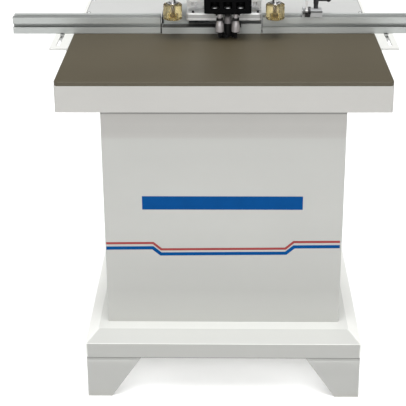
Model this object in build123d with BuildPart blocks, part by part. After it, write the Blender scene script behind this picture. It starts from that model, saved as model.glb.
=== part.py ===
from build123d import *
import math
import os

# Hinge boring machine: a pedestal with a work table, a T-slot fence and a three-spindle boring head.
# Millimetres. +X is the operator's right, +Y is away from the operator, +Z is up, the floor is at zero.
# The origin is on the floor, under the middle of the whole machine.

# Table
table_width = 800.0
table_depth = 820.0
table_height = 815.0
board_thickness = 10.0
board_corner = 12.0
board_edge = 1.5
board_gap_to_fence = 0.4
plate_joint = 1.0
plate_edge = 3.0
apron_height = 65.0
apron_wall = 3.0
apron_corner = 6.0

# Pedestal
base_width = 690.0
base_depth = 800.0
base_top = 165.0
base_rise = 12.0
base_lip = 40.0
base_wall = 3.0
base_corner = 6.0
base_border = 28.0
base_front_border = 57.0
base_fold = 1.5
base_ahead_of_table = 70.0
foot_low_width = 60.0
foot_high_width = 137.0
foot_plate = 4.0
foot_sole = 6.0
foot_setback = 1.5
anchor_radius = 6.5
cabinet_width = 591.0
cabinet_depth = 650.0
cabinet_setback = 25.0
cabinet_wall = 2.0
cabinet_corner = 4.0
cabinet_flange = 40.0

# Rear door, its hinges and its latch
service_left = -260.0
service_right = 150.0
door_above_drawer = 40.0
door_below_apron = 25.0
door_overlap = 12.0
door_pan = 15.0
door_wall = 2.0
door_gap = 1.0
hinge_radius = 6.0
hinge_pin_radius = 3.0
hinge_bore_clearance = 0.05
hinge_knuckle = 30.0
hinge_split = 0.4
hinge_between = 78.0
hinge_from_door = 7.0
latch_from_edge = 10.0
latch_shaft_radius = 4.0
latch_clearance = 0.05
latch_knob_radius = 14.0
latch_knob_height = 10.0
latch_grip = 5.0
latch_grip_height = 12.0
latch_cam_length = 30.0
latch_cam_width = 12.0
latch_cam_thickness = 3.0
latch_cam_behind_wall = 2.0

# Dust drawer
drawer_opening_height = 190.0
drawer_side_gap = 6.0
drawer_wall = 1.5
drawer_height = 170.0
drawer_depth = 430.0
drawer_front = 2.5
handle_span = 110.0
handle_reach = 26.0
handle_bar = 10.0

# Dust blower on its shelf, under the suction duct
shelf_above_drawer = 17.0
shelf_sheet = 2.0
shelf_flange = 25.0
shelf_front_gap = 60.0
shelf_back_gap = 20.0
duct_radius = 38.0
duct_wall = 2.0
duct_flange = 10.0
duct_flange_height = 4.0
duct_clearance = 2.0
blower_motor_radius = 58.0
blower_motor_height = 110.0
blower_foot_radius = 66.0
blower_foot_height = 8.0
volute_start = 80.0
volute_growth = 12.0
volute_height = 80.0
volute_wall = 2.0
volute_outlet_reach = 130.0
volute_collar = 18.0
impeller_radius = 72.0
impeller_gap = 8.0
impeller_plate = 4.0
impeller_blade = 3.0
impeller_blades = 8
impeller_eye = 30.0
impeller_shaft = 6.0
shaft_clearance = 0.05

# Fence: two 45 mm T-slot profiles with a low strip between them
fence_face = 427.6
fence_end = 562.0
profile_size = 45.0
profile_corner = 1.5
slot_width = 10.0
slot_lip = 4.5
slot_depth = 11.0
slot_inner = 17.0
profile_core_radius = 5.0
strip_left = -165.0
strip_right = 99.0
strip_gap = 4.0
strip_height = 16.5
strip_step = 53.0
strip_step_rise = 10.5
tongue_length = 50.0
tongue_height = 6.0
tongue_play = 0.2

# Brackets that carry the fence at the table's sides
bracket_reach = 48.0
bracket_drop = 50.0
bracket_wall = 4.0
bracket_front = 284.0
bracket_length = 230.0
bracket_slot_front = 25.0
bracket_slot_width = 9.0
bracket_slot_from_table = 29.0
strap_width = 22.0
strap_height = 6.0
clamp_bolt_radius = 3.0
clamp_bolt_clearance = 0.3
clamp_head_radius = 5.0
clamp_head_height = 6.0
clamp_front_bolt = 21.0
t_nut_length = 24.0
t_nut_width = 16.0
t_nut_height = 6.0
t_nut_play = 0.3

# Suction housing and the head's base plate
housing_height = 36.0
housing_depth = 140.0
housing_wall = 8.0
housing_behind_strip = 1.0
housing_side_inset = 2.0
mouth_left = -95.0
mouth_right = 85.0
mouth_sill = 2.0
head_plate_width = 200.0
head_plate_depth = 150.0
head_plate_thickness = 18.0
head_plate_corner = 8.0
head_plate_edge = 1.5

# Upright with its rails and top bridge
upright_setback = 57.4
upright_thickness = 20.0
upright_height = 361.0
upright_window_width = 60.0
upright_window_height = 130.0
upright_window_rise = 60.0
gusset_thickness = 12.0
gusset_spread = 140.0
gusset_depth = 60.0
gusset_top_gap = 40.0
bridge_width = 130.0
bridge_thickness = 15.0
bridge_reach = 40.0
rail_width = 15.0
rail_height = 15.0
rail_spread = 160.0
rail_end_gap = 10.0
rail_groove = 2.0
rail_groove_width = 5.0
carriage_width = 34.0
carriage_length = 40.0
carriage_stack = 28.0
carriage_rail_gap = 0.3
carriage_base_gap = 4.5
carriage_end_gap = 8.0

# Boring head
head_x = 10.0
drill_from_fence = 42.0
dowel_spread = 42.0
dowel_offset = 11.0
head_bottom = 76.0
gearbox_width = 122.0
gearbox_depth = 105.0
gearbox_height = 96.0
gearbox_corner = 6.0
gearbox_edge = 2.0
saddle_width = 194.0
saddle_thickness = 14.0
saddle_height = 183.0
saddle_rise = 6.0
saddle_corner = 8.0
lug_width = 50.0
lug_thickness = 15.0
lug_back_gap = 2.0
cap_radius = 9.5
cap_dome = 2.2
cap_rim = 2.0
cap_spread = 33.0
cap_rise = 14.0
cap_setback = 10.5
cap_pocket_radius = 11.5
cap_pocket_height = 17.0

# Spindles, gears and bearings
gear_teeth = 16
gear_pressure_angle = 20.0
gear_addendum = 0.9
gear_dedendum = 1.2
gear_backlash = 0.25
gear_width = 14.0
gear_rise = 38.0
gear_room = 1.5
flank_steps = 4
shaft_radius = 6.0
bearing_radius = 10.5
bearing_width = 5.0
bearing_lip_clearance = 1.0
spindle_plate_thickness = 6.0
spindle_plate_margin = 13.0
nose_radius = 9.5
centre_nose_height = 15.0
side_nose_radius = 11.0
side_nose_height = 32.0
side_nose_bell = 18.0
side_nose_edge = 2.0
centre_nose_bottom = 40.0
side_nose_bottom = 18.0
bit_shank_radius = 5.0
bit_socket_depth = 20.0
bit_fit = 0.05
bit_tip_gap = 2.2
hinge_bit_radius = 17.5
hinge_bit_head = 9.0
hinge_bit_tip = 2.5
hinge_bit_tip_radius = 3.0
hinge_bit_gullet = 15.0
hinge_bit_spur = 1.2
hinge_bit_hub = 9.5
hinge_bit_turn = 115.0
dowel_bit_radius = 4.0
dowel_bit_tip = 2.5
dowel_bit_flute = 1.6

# Motor
motor_radius = 56.0
motor_core_radius = 50.0
motor_fins = 24
motor_fin = 2.5
motor_flange = 8.0
motor_flange_width = 108.0
motor_length = 180.0
motor_wall = 8.0
rotor_radius = 30.0
rotor_gap = 1.0
rotor_end_gap = 14.0
rotor_shaft = 8.0
fan_cover_height = 50.0
fan_cover_wall = 1.5
fan_cover_edge = 7.0
fan_radius = 47.0
fan_blades = 7
fan_blade = 2.0
fan_height = 22.0
fan_hub = 14.0
fan_gap = 7.0
vent_slots = 12
vent_length = 26.0
vent_width = 6.0
vent_middle = 30.0
terminal_width = 50.0
terminal_height = 60.0
terminal_reach = 36.0
terminal_corner = 4.0

# Feed cylinder and depth stop
feed_cap = 50.0
feed_cap_height = 25.0
feed_barrel_radius = 22.0
feed_bore = 19.0
feed_chamber = 110.0
feed_rod = 8.0
piston_height = 14.0
piston_gap = 0.08
piston_end_gap = 2.0
tie_rod_radius = 3.0
tie_rod_inset = 7.0
stop_rod_radius = 6.0
stop_rod_x = 47.0
stop_rod_above = 55.0
stop_rod_clearance = 0.7
stop_nut_radius = 9.5
stop_nut_height = 9.0
stop_nut_gap = 1.0

# Press pads, their cylinders and arms
pad_spread = 267.0
pad_ahead_of_fence = 49.6
pad_radius = 24.5
pad_height = 41.0
pad_above_table = 53.0
pad_edge = 4.0
pad_recess_radius = 10.0
pad_recess_depth = 16.0
pad_screw_radius = 4.0
pad_screw_clearance = 0.3
pad_screw_head = 7.5
pad_screw_head_height = 8.0
pad_washer_radius = 15.0
pad_washer = 3.0
arm_rise = 120.0
arm_thickness = 12.0
arm_width = 56.0
arm_front = 30.0
arm_flange_height = 70.0
press_cap = 44.0
press_cap_height = 22.0
press_barrel_radius = 19.0
press_bore = 16.0
press_chamber = 95.0
press_rod = 8.0
press_piston = 12.0
rod_hole_clearance = 0.8
rod_gland_clearance = 0.05

# Flip stop on the right fence
stop_left = 228.0
stop_block_width = 32.0
stop_block_height = 18.0
stop_block_front = 2.6
stop_block_depth = 34.0
fork_width = 21.0
fork_ear = 6.5
fork_ear_radius = 10.5
fork_gap = 1.0
stop_pivot_ahead = 8.6
stop_pivot_rise = 19.5
stop_pin_radius = 3.0
stop_pin_clearance = 0.05
stop_pin_head = 1.0
finger_length = 50.0
finger_thickness = 8.0
lever_stud = 4.0
lever_stud_hole = 4.4
lever_foot_radius = 6.0
lever_hub_radius = 7.0
lever_hub_height = 30.0
lever_arm_length = 40.0
lever_arm_rise = 24.0
lever_arm_radius = 5.0
lever_ball_radius = 7.0

# Control box and its buttons
control_gap = 12.0
control_width = 110.0
control_depth = 70.0
control_height = 150.0
control_bottom = 265.0
control_corner = 6.0
control_front_ahead = 55.0
control_tab = 16.0
control_tab_height = 40.0
button_radius = 11.0
button_clearance = 0.3
button_bezel = 3.0
button_bezel_height = 5.0
button_length = 17.0
button_stand = 6.0
button_room = 12.0
button_edge = 1.5
button_spread = 60.0
mushroom_radius = 18.0
mushroom_height = 11.0
mushroom_stand = 7.0

# Air regulator, valves and mains gland
services_x = 222.0
air_body = 46.0
air_body_height = 80.0
air_body_bottom = 520.0
air_back_plate = 4.0
air_port_radius = 5.9
air_port_depth = 14.0
bowl_radius = 19.0
bowl_height = 78.0
bowl_collar = 10.0
bowl_collar_radius = 22.0
bowl_wall = 2.5
air_knob_radius = 18.0
air_knob_height = 38.0
air_knob_gap = 0.5
air_knob_edge = 2.0
air_knob_grooves = 16
air_knob_groove = 1.5
air_stem_radius = 7.0
air_stem_depth = 16.0
gauge_radius = 19.0
gauge_depth = 14.0
gland_height = 330.0
gland_bore = 5.5
gland_thread = 10.0
gland_hex = 14.0
gland_hex_height = 9.0
gland_dome = 18.0
gland_edge = 3.0
gland_inside = 12.0
gland_thread_clearance = 0.2
valve_width = 24.0
valve_depth = 34.0
valve_height = 80.0
valve_spread = 56.0
valve_bottom = 130.0
valve_coil = 30.0
valve_coil_inset = 3.0
valve_port_radius = 5.0
valve_port_reach = 12.0

# Places worked out from the sizes above
overall_depth = base_ahead_of_table + table_depth
base_front = -overall_depth / 2
base_back = base_front + base_depth
base_middle = (base_front + base_back) / 2
table_front = base_front + base_ahead_of_table
table_back = table_front + table_depth
table_middle = (table_front + table_back) / 2
cabinet_front = table_front + cabinet_setback
cabinet_back = cabinet_front + cabinet_depth
cabinet_middle = (cabinet_front + cabinet_back) / 2
base_rim = base_top - base_rise
foot_height = base_rim - base_lip
apron_top = table_height - board_thickness
apron_bottom = apron_top - apron_height
fence_y = table_front + fence_face
fence_middle = fence_y + profile_size / 2
board_back = fence_y - board_gap_to_fence
housing_front = fence_y + profile_size + housing_behind_strip
housing_back = housing_front + housing_depth
housing_top = table_height + housing_height
duct_y = (housing_front + housing_back) / 2
duct_x = (strip_left + strip_right) / 2
head_plate_top = housing_top + head_plate_thickness
head_plate_back = fence_y + head_plate_depth
upright_front = fence_y + upright_setback
upright_back = upright_front + upright_thickness
upright_top = head_plate_top + upright_height
drill_y = fence_y - drill_from_fence
dowel_y = drill_y - dowel_offset
gear_distance = math.hypot(dowel_spread / 2, dowel_offset)
gearbox_bottom = table_height + head_bottom
gearbox_top = gearbox_bottom + gearbox_height
saddle_back = upright_front - carriage_stack
saddle_front = saddle_back - saddle_thickness
gearbox_front = saddle_front - gearbox_depth
saddle_bottom = gearbox_bottom + saddle_rise
saddle_top = saddle_bottom + saddle_height
lug_top = saddle_top + lug_thickness
feed_y = (saddle_back + upright_front) / 2
bridge_top = upright_top + bridge_thickness
pad_y = fence_y - pad_ahead_of_fence
pad_bottom = table_height + pad_above_table
pad_top = pad_bottom + pad_height
arm_bottom = table_height + arm_rise
arm_top = arm_bottom + arm_thickness
centre_spindle_at = (head_x, drill_y)
left_spindle_at = (head_x - dowel_spread / 2, dowel_y)
right_spindle_at = (head_x + dowel_spread / 2, dowel_y)
spindle_places = (centre_spindle_at, left_spindle_at, right_spindle_at)

os.makedirs("parts", exist_ok=True)


def save(piece, label):
    """Names a finished piece and writes it as a file of its own."""
    piece.label = label
    export_step(piece, f"parts/{label}.step")


def block(x_span, y_span, z_span, mode=Mode.ADD):
    """A square-edged stretch of material between two values on each axis."""
    with BuildSketch(Plane.XY.offset(z_span[0])) as plan:
        with Locations(((x_span[0] + x_span[1]) / 2, (y_span[0] + y_span[1]) / 2)):
            Rectangle(x_span[1] - x_span[0], y_span[1] - y_span[0])
    extrude(plan.sketch, amount=z_span[1] - z_span[0], mode=mode)


def rod(start, along, length, radius, mode=Mode.ADD):
    """A round stretch of material, or a hole, from a point along a direction."""
    with BuildSketch(Plane(origin=start, z_dir=along)) as end:
        Circle(radius)
    extrude(end.sketch, amount=length, mode=mode)


def turned(centre, outline, mode=Mode.ADD):
    """A turned piece about an upright axis, from corners given as radius and height."""
    side_view = Plane(origin=(centre[0], centre[1], 0), x_dir=(1, 0, 0), z_dir=(0, -1, 0))
    with BuildSketch(side_view) as half:
        with BuildLine():
            Polyline(*outline, close=True)
        make_face()
    revolve(half.sketch, axis=Axis((centre[0], centre[1], 0), (0, 0, 1)), mode=mode)


up = (0, 0, 1)
back = (0, 1, 0)
forward = (0, -1, 0)
right = (1, 0, 0)


def hipped_form(inset, drop, mode=Mode.ADD):
    """The base's form, drawn in by a wall: upright sides, then four slopes up to a flat top."""
    corner = base_corner - inset
    flat_width = base_width - 2 * base_border
    flat_depth = base_depth - base_border - base_front_border
    flat_middle = base_middle + (base_front_border - base_border) / 2
    with BuildSketch(Plane.XY.offset(foot_height)) as sides:
        with Locations((0, base_middle)):
            RectangleRounded(base_width - 2 * inset, base_depth - 2 * inset, corner)
    extrude(sides.sketch, amount=base_lip - drop, mode=mode)
    with BuildSketch(Plane.XY.offset(base_rim - drop)) as rim:
        with Locations((0, base_middle)):
            RectangleRounded(base_width - 2 * inset, base_depth - 2 * inset, corner)
    with BuildSketch(Plane.XY.offset(base_top - drop)) as flat:
        with Locations((0, flat_middle)):
            RectangleRounded(flat_width, flat_depth, corner)
    loft([rim.sketch, flat.sketch], ruled=True, mode=mode)


# Base: a folded tray with a hipped top, open underneath
with BuildPart() as base_frame:
    hipped_form(0, 0)
    rim_edges = base_frame.edges().filter_by_position(Axis.Z, base_rim - base_fold, base_rim + base_fold)
    fillet(rim_edges, base_fold)
    hipped_form(base_wall, base_wall, mode=Mode.SUBTRACT)
save(base_frame.part, "base_frame")

# Feet: two tapered plates folded round each corner, on a drilled sole
with BuildPart() as base_feet:
    corner_x = foot_setback - base_width / 2
    corner_y = base_front + foot_setback
    with BuildSketch(Plane.XZ.offset(-corner_y)):
        with BuildLine():
            Polyline(
                (corner_x, 0),
                (corner_x + foot_low_width, 0),
                (corner_x + foot_high_width, foot_height),
                (corner_x, foot_height),
                close=True,
            )
        make_face()
    extrude(amount=-foot_plate)
    with BuildSketch(Plane.YZ.offset(corner_x)):
        with BuildLine():
            Polyline(
                (corner_y, 0),
                (corner_y + foot_low_width, 0),
                (corner_y + foot_high_width, foot_height),
                (corner_y, foot_height),
                close=True,
            )
        make_face()
    extrude(amount=foot_plate)
    block(
        (corner_x, corner_x + foot_low_width),
        (corner_y, corner_y + foot_low_width),
        (0, foot_sole),
    )
    anchor = (corner_x + foot_low_width / 2, corner_y + foot_low_width / 2, 0)
    rod(anchor, up, foot_sole, anchor_radius, mode=Mode.SUBTRACT)
    mirror(about=Plane.YZ)
    mirror(about=Plane.XZ.offset(-base_middle))
save(base_feet.part, "base_feet")

# Cabinet: a wrapped sheet shell with a floor and a flanged top, open behind for the door and the drawer
cabinet_inside = cabinet_width / 2 - cabinet_wall
drawer_floor = base_top + cabinet_wall
drawer_opening_top = drawer_floor + drawer_opening_height
door_opening_bottom = drawer_opening_top + door_above_drawer
door_opening_top = apron_bottom - door_below_apron
shelf_top = drawer_opening_top + shelf_above_drawer
with BuildPart() as cabinet_shell:
    with BuildSketch(Plane.XY.offset(base_top)):
        with Locations((0, cabinet_middle)):
            RectangleRounded(cabinet_width, cabinet_depth, cabinet_corner)
    extrude(amount=apron_bottom - base_top)
    block(
        (-cabinet_inside, cabinet_inside),
        (cabinet_front + cabinet_wall, cabinet_back - cabinet_wall),
        (drawer_floor, apron_bottom - cabinet_wall),
        mode=Mode.SUBTRACT,
    )
    block(
        (cabinet_flange - cabinet_inside, cabinet_inside - cabinet_flange),
        (cabinet_front + cabinet_flange, cabinet_back - cabinet_flange),
        (apron_bottom - cabinet_wall, apron_bottom),
        mode=Mode.SUBTRACT,
    )
    wall_span = (cabinet_back - cabinet_wall, cabinet_back)
    block(
        (service_left, service_right),
        wall_span,
        (door_opening_bottom, door_opening_top),
        mode=Mode.SUBTRACT,
    )
    block(
        (service_left, service_right),
        wall_span,
        (drawer_floor, drawer_opening_top),
        mode=Mode.SUBTRACT,
    )
    rod(
        (services_x, wall_span[0], gland_height),
        back,
        cabinet_wall,
        gland_thread + gland_thread_clearance,
        mode=Mode.SUBTRACT,
    )
save(cabinet_shell.part, "cabinet_shell")

# Door hinges: leaf, lower knuckle and pin, one piece to each hinge
hinge_x = service_left - door_overlap - hinge_from_door
hinge_y = cabinet_back + hinge_radius + hinge_split
hinge_height = 2 * hinge_knuckle
hinge_inset = (door_opening_top - door_opening_bottom - hinge_between) / 2 - hinge_height
hinge_heights = (door_opening_bottom + hinge_inset, door_opening_top - hinge_inset - hinge_height)
with BuildPart() as door_hinge_pins:
    for height in hinge_heights:
        rod((hinge_x, hinge_y, height), up, hinge_knuckle, hinge_radius)
        rod((hinge_x, hinge_y, height), up, hinge_height, hinge_pin_radius)
        block(
            (hinge_x - hinge_radius, hinge_x + hinge_radius),
            (cabinet_back, hinge_y),
            (height, height + hinge_knuckle),
        )
save(door_hinge_pins.part, "door_hinge_pins")

# Rear door: a shallow folded pan with the upper knuckles welded to its edge
door_left = service_left - door_overlap
door_right = service_right + door_overlap
door_bottom = door_opening_bottom - door_overlap
door_top = door_opening_top + door_overlap
door_inner = cabinet_back + door_gap
door_outer = door_inner + door_pan
latch_at = (service_right - latch_from_edge, (door_bottom + door_top) / 2)
with BuildPart() as rear_door:
    block((door_left, door_right), (door_inner, door_outer), (door_bottom, door_top))
    fillet(rear_door.faces().sort_by(Axis.Y)[-1].edges(), door_wall)
    block(
        (door_left + door_wall, door_right - door_wall),
        (door_inner, door_outer - door_wall),
        (door_bottom + door_wall, door_top - door_wall),
        mode=Mode.SUBTRACT,
    )
    for height in hinge_heights:
        knuckle_bottom = height + hinge_knuckle + hinge_split
        rod((hinge_x, hinge_y, knuckle_bottom), up, hinge_knuckle, hinge_radius)
        block(
            (hinge_x, door_left + door_wall),
            (hinge_y - hinge_radius / 2, hinge_y + hinge_radius),
            (knuckle_bottom, knuckle_bottom + hinge_knuckle),
        )
        rod(
            (hinge_x, hinge_y, knuckle_bottom),
            up,
            hinge_knuckle,
            hinge_pin_radius + hinge_bore_clearance,
            mode=Mode.SUBTRACT,
        )
    rod(
        (latch_at[0], door_outer - door_wall, latch_at[1]),
        back,
        door_wall,
        latch_shaft_radius + latch_clearance,
        mode=Mode.SUBTRACT,
    )
save(rear_door.part, "rear_door")

# Latch: a turn knob, its shaft and the cam that swings behind the cabinet's wall
cam_inner = cabinet_back - cabinet_wall - latch_cam_behind_wall - latch_cam_thickness
with BuildPart() as door_latch:
    rod((latch_at[0], cam_inner, latch_at[1]), back, door_outer - cam_inner, latch_shaft_radius)
    rod((latch_at[0], door_outer, latch_at[1]), back, latch_knob_height, latch_knob_radius)
    chamfer(door_latch.faces().sort_by(Axis.Y)[-1].edges(), latch_grip / 2)
    block(
        (latch_at[0] - latch_grip / 2, latch_at[0] + latch_grip / 2),
        (door_outer + latch_knob_height, door_outer + latch_knob_height + latch_grip_height),
        (latch_at[1] - latch_knob_radius + latch_grip, latch_at[1] + latch_knob_radius - latch_grip),
    )
    block(
        (latch_at[0] - latch_cam_width / 2, latch_at[0] + latch_cam_width / 2),
        (cam_inner, cam_inner + latch_cam_thickness),
        (latch_at[1] - latch_cam_width / 2, latch_at[1] + latch_cam_length),
    )
save(door_latch.part, "door_latch")

# Dust drawer: an open sheet box behind a front plate with a bow handle
drawer_left = service_left + drawer_side_gap
drawer_right = service_right - drawer_side_gap
drawer_inner_end = cabinet_back - drawer_depth
drawer_middle = (drawer_left + drawer_right) / 2
front_outer = cabinet_back + door_gap + drawer_front
handle_height = drawer_floor + drawer_opening_height / 2
with BuildPart() as dust_drawer:
    block(
        (drawer_left, drawer_right),
        (drawer_inner_end, cabinet_back + door_gap),
        (drawer_floor, drawer_floor + drawer_height),
    )
    block(
        (drawer_left + drawer_wall, drawer_right - drawer_wall),
        (drawer_inner_end + drawer_wall, cabinet_back + door_gap),
        (drawer_floor + drawer_wall, drawer_floor + drawer_height),
        mode=Mode.SUBTRACT,
    )
    block(
        (service_left - door_overlap, service_right + door_overlap),
        (cabinet_back + door_gap, front_outer),
        (drawer_floor, drawer_opening_top + door_overlap),
    )
    with BuildSketch(Plane.XY.offset(handle_height - handle_bar / 2)):
        with Locations((drawer_middle, front_outer + handle_reach / 2)):
            Rectangle(handle_span + 2 * handle_bar, handle_reach)
            with Locations((0, -handle_bar / 2)):
                Rectangle(handle_span, handle_reach - handle_bar, mode=Mode.SUBTRACT)
    extrude(amount=handle_bar)
    handle_edges = dust_drawer.edges().filter_by(Axis.Z).sort_by(Axis.Y)[-2:]
    fillet(handle_edges, handle_bar / 2)
save(dust_drawer.part, "dust_drawer")

# Inner shelf: a sheet across the cabinet, folded down along its sides, cut for the blower's outlet
outlet_right = duct_x - volute_start
outlet_left = outlet_right - 4 * volute_growth
outlet_front = duct_y - volute_outlet_reach
chute_back = outlet_front + (outlet_right - outlet_left)
shelf_front = cabinet_front + cabinet_wall + shelf_front_gap
shelf_back = cabinet_back - cabinet_wall - shelf_back_gap
with BuildPart() as inner_shelf:
    block(
        (-cabinet_inside, cabinet_inside),
        (shelf_front, shelf_back),
        (shelf_top - shelf_sheet, shelf_top),
    )
    for side in (-1, 1):
        flange_edges = sorted((side * cabinet_inside, side * (cabinet_inside - shelf_sheet)))
        block(flange_edges, (shelf_front, shelf_back), (shelf_top - shelf_flange, shelf_top))
    block(
        (outlet_left + volute_wall, outlet_right - volute_wall),
        (outlet_front + volute_wall, chute_back - volute_wall),
        (shelf_top - shelf_sheet, shelf_top),
        mode=Mode.SUBTRACT,
    )
save(inner_shelf.part, "inner_shelf")

# Blower motor: a flanged can standing on the shelf under the fan housing
volute_bottom = shelf_top + blower_motor_height
volute_top = volute_bottom + volute_height
with BuildPart() as blower_motor:
    rod((duct_x, duct_y, shelf_top), up, blower_foot_height, blower_foot_radius)
    rod((duct_x, duct_y, shelf_top), up, blower_motor_height, blower_motor_radius)
    rod(
        (duct_x, duct_y, shelf_top + blower_foot_height),
        up,
        blower_motor_height - blower_foot_height,
        impeller_shaft + shaft_clearance,
        mode=Mode.SUBTRACT,
    )
save(blower_motor.part, "blower_motor")


def volute_outline(inset):
    """The fan housing's spiral in four quarter arcs, drawn in by a wall, with its straight outlet."""
    step = volute_growth
    first = volute_start - inset
    centres = ((0, 0), (0, step), (-step, step), (-step, 0))
    with BuildLine() as spiral:
        for quarter, centre in enumerate(centres):
            spot = (duct_x + centre[0], duct_y + centre[1])
            CenterArc(spot, first + quarter * step, 180 + quarter * 90, 90)
        start = (duct_x - first, duct_y)
        end = (duct_x - 4 * step - first, duct_y)
        Polyline(start, (start[0], outlet_front + inset), (end[0], outlet_front + inset), end)
    make_face(spiral.edges())


# Blower housing: a spiral fan case with an inlet collar on top and a chute down to the drawer
with BuildPart() as blower_housing:
    with BuildSketch(Plane.XY.offset(volute_bottom)):
        volute_outline(0)
    extrude(amount=volute_height)
    block(
        (outlet_left, outlet_right),
        (outlet_front, chute_back),
        (shelf_top, volute_bottom + volute_wall),
    )
    rod((duct_x, duct_y, volute_top), up, volute_collar, duct_radius)
    with BuildSketch(Plane.XY.offset(volute_bottom + volute_wall)):
        volute_outline(volute_wall)
    extrude(amount=volute_height - 2 * volute_wall, mode=Mode.SUBTRACT)
    block(
        (outlet_left + volute_wall, outlet_right - volute_wall),
        (outlet_front + volute_wall, chute_back - volute_wall),
        (shelf_top, volute_bottom + 2 * volute_wall),
        mode=Mode.SUBTRACT,
    )
    rod(
        (duct_x, duct_y, volute_top - 2 * volute_wall),
        up,
        volute_collar + 2 * volute_wall,
        duct_radius - duct_wall,
        mode=Mode.SUBTRACT,
    )
    rod(
        (duct_x, duct_y, volute_bottom),
        up,
        volute_wall,
        impeller_shaft + shaft_clearance,
        mode=Mode.SUBTRACT,
    )
save(blower_housing.part, "blower_housing")

# Impeller: a back plate with straight blades leaning off the radius, on its shaft
impeller_bottom = volute_bottom + volute_wall + impeller_gap
impeller_top = volute_top - volute_wall - impeller_gap
with BuildPart() as blower_impeller:
    rod((duct_x, duct_y, impeller_bottom), up, impeller_plate, impeller_radius)
    with BuildSketch(Plane.XY.offset(impeller_bottom)):
        with Locations((duct_x, duct_y)):
            with PolarLocations((impeller_eye + impeller_radius) / 2, impeller_blades):
                Rectangle(impeller_radius - impeller_eye, impeller_blade, rotation=impeller_eye)
    extrude(amount=impeller_top - impeller_bottom)
    rod((duct_x, duct_y, impeller_bottom), up, impeller_top - impeller_bottom, 2 * impeller_shaft)
    shaft_low = shelf_top + blower_motor_height / 2
    rod((duct_x, duct_y, shaft_low), up, impeller_top - shaft_low, impeller_shaft)
save(blower_impeller.part, "blower_impeller")

# Table frame: the white apron, a sheet box open underneath, with a hole for the suction duct
with BuildPart() as table_frame:
    with BuildSketch(Plane.XY.offset(apron_bottom)):
        with Locations((0, table_middle)):
            RectangleRounded(table_width, table_depth, apron_corner)
    extrude(amount=apron_height)
    block(
        (apron_wall - table_width / 2, table_width / 2 - apron_wall),
        (table_front + apron_wall, table_back - apron_wall),
        (apron_bottom, apron_top - apron_wall),
        mode=Mode.SUBTRACT,
    )
    rod(
        (duct_x, duct_y, apron_top - apron_wall),
        up,
        apron_wall,
        duct_radius + duct_clearance,
        mode=Mode.SUBTRACT,
    )
save(table_frame.part, "table_frame")

# Work board: the brown panel from the front edge to under the fence
with BuildPart() as work_board:
    block(
        (-table_width / 2, table_width / 2),
        (table_front, board_back),
        (apron_top, table_height),
    )
    front_corners = work_board.edges().filter_by(Axis.Z).sort_by(Axis.Y)[:2]
    fillet(front_corners, board_corner)
    fillet(work_board.faces().sort_by(Axis.Z)[-1].edges().sort_by(Axis.Y)[:-1], board_edge)
save(work_board.part, "work_board")

# Rear table plate: the pale plate behind the fence, level with the board
with BuildPart() as rear_table_plate:
    block(
        (-table_width / 2, table_width / 2),
        (board_back + plate_joint, table_back),
        (apron_top, table_height),
    )
    fillet(rear_table_plate.edges().filter_by(Axis.Z).sort_by(Axis.Y)[-2:], apron_corner)
    fillet(rear_table_plate.faces().sort_by(Axis.Z)[-1].edges().sort_by(Axis.Y)[1:], plate_edge)
    rod(
        (duct_x, duct_y, apron_top),
        up,
        board_thickness,
        duct_radius + duct_clearance,
        mode=Mode.SUBTRACT,
    )
save(rear_table_plate.part, "rear_table_plate")

# Suction duct: a flanged tube hanging in the table, down to the blower's collar
with BuildPart() as suction_duct:
    duct_bottom = volute_top + volute_collar
    rod((duct_x, duct_y, duct_bottom), up, table_height - duct_bottom, duct_radius)
    rod((duct_x, duct_y, table_height), up, duct_flange_height, duct_radius + duct_flange)
    rod(
        (duct_x, duct_y, duct_bottom),
        up,
        table_height + duct_flange_height - duct_bottom,
        duct_radius - duct_wall,
        mode=Mode.SUBTRACT,
    )
save(suction_duct.part, "suction_duct")

# Suction housing: a cast box on the rear plate, open at the bottom and through a wide front mouth
housing_left = strip_left + housing_side_inset
housing_right = strip_right - housing_side_inset
with BuildPart() as suction_housing:
    block((housing_left, housing_right), (housing_front, housing_back), (table_height, housing_top))
    fillet(suction_housing.edges().filter_by(Axis.Z), housing_wall / 2)
    block(
        (housing_left + housing_wall, housing_right - housing_wall),
        (housing_front + housing_wall, housing_back - housing_wall),
        (table_height, housing_top - housing_wall),
        mode=Mode.SUBTRACT,
    )
    block(
        (mouth_left, mouth_right),
        (housing_front, housing_front + housing_wall),
        (table_height + mouth_sill, housing_top - housing_wall),
        mode=Mode.SUBTRACT,
    )
save(suction_housing.part, "suction_housing")


def t_slot_section():
    """Cross-section of the fence profile: a square with a T-slot in each side and a core hole."""
    RectangleRounded(profile_size, profile_size, profile_corner)
    with PolarLocations(profile_size / 2 - slot_lip / 2, 4):
        Rectangle(slot_lip, slot_width, mode=Mode.SUBTRACT)
    with PolarLocations(profile_size / 2 - (slot_lip + slot_depth) / 2, 4):
        Rectangle(slot_depth - slot_lip, slot_inner, mode=Mode.SUBTRACT)
    Circle(profile_core_radius, mode=Mode.SUBTRACT)


# Fence profiles: one each side of the head
profile_plane = Plane(
    origin=(0, fence_middle, table_height + profile_size / 2), x_dir=(0, 1, 0), z_dir=(1, 0, 0)
)
profile_spans = {
    "fence_profile_left": (-fence_end, strip_left - strip_gap),
    "fence_profile_right": (strip_right + strip_gap, fence_end),
}
for label, span in profile_spans.items():
    with BuildPart() as fence_profile:
        with BuildSketch(profile_plane.offset(span[0])):
            t_slot_section()
        extrude(amount=span[1] - span[0])
    save(fence_profile.part, label)

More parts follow.
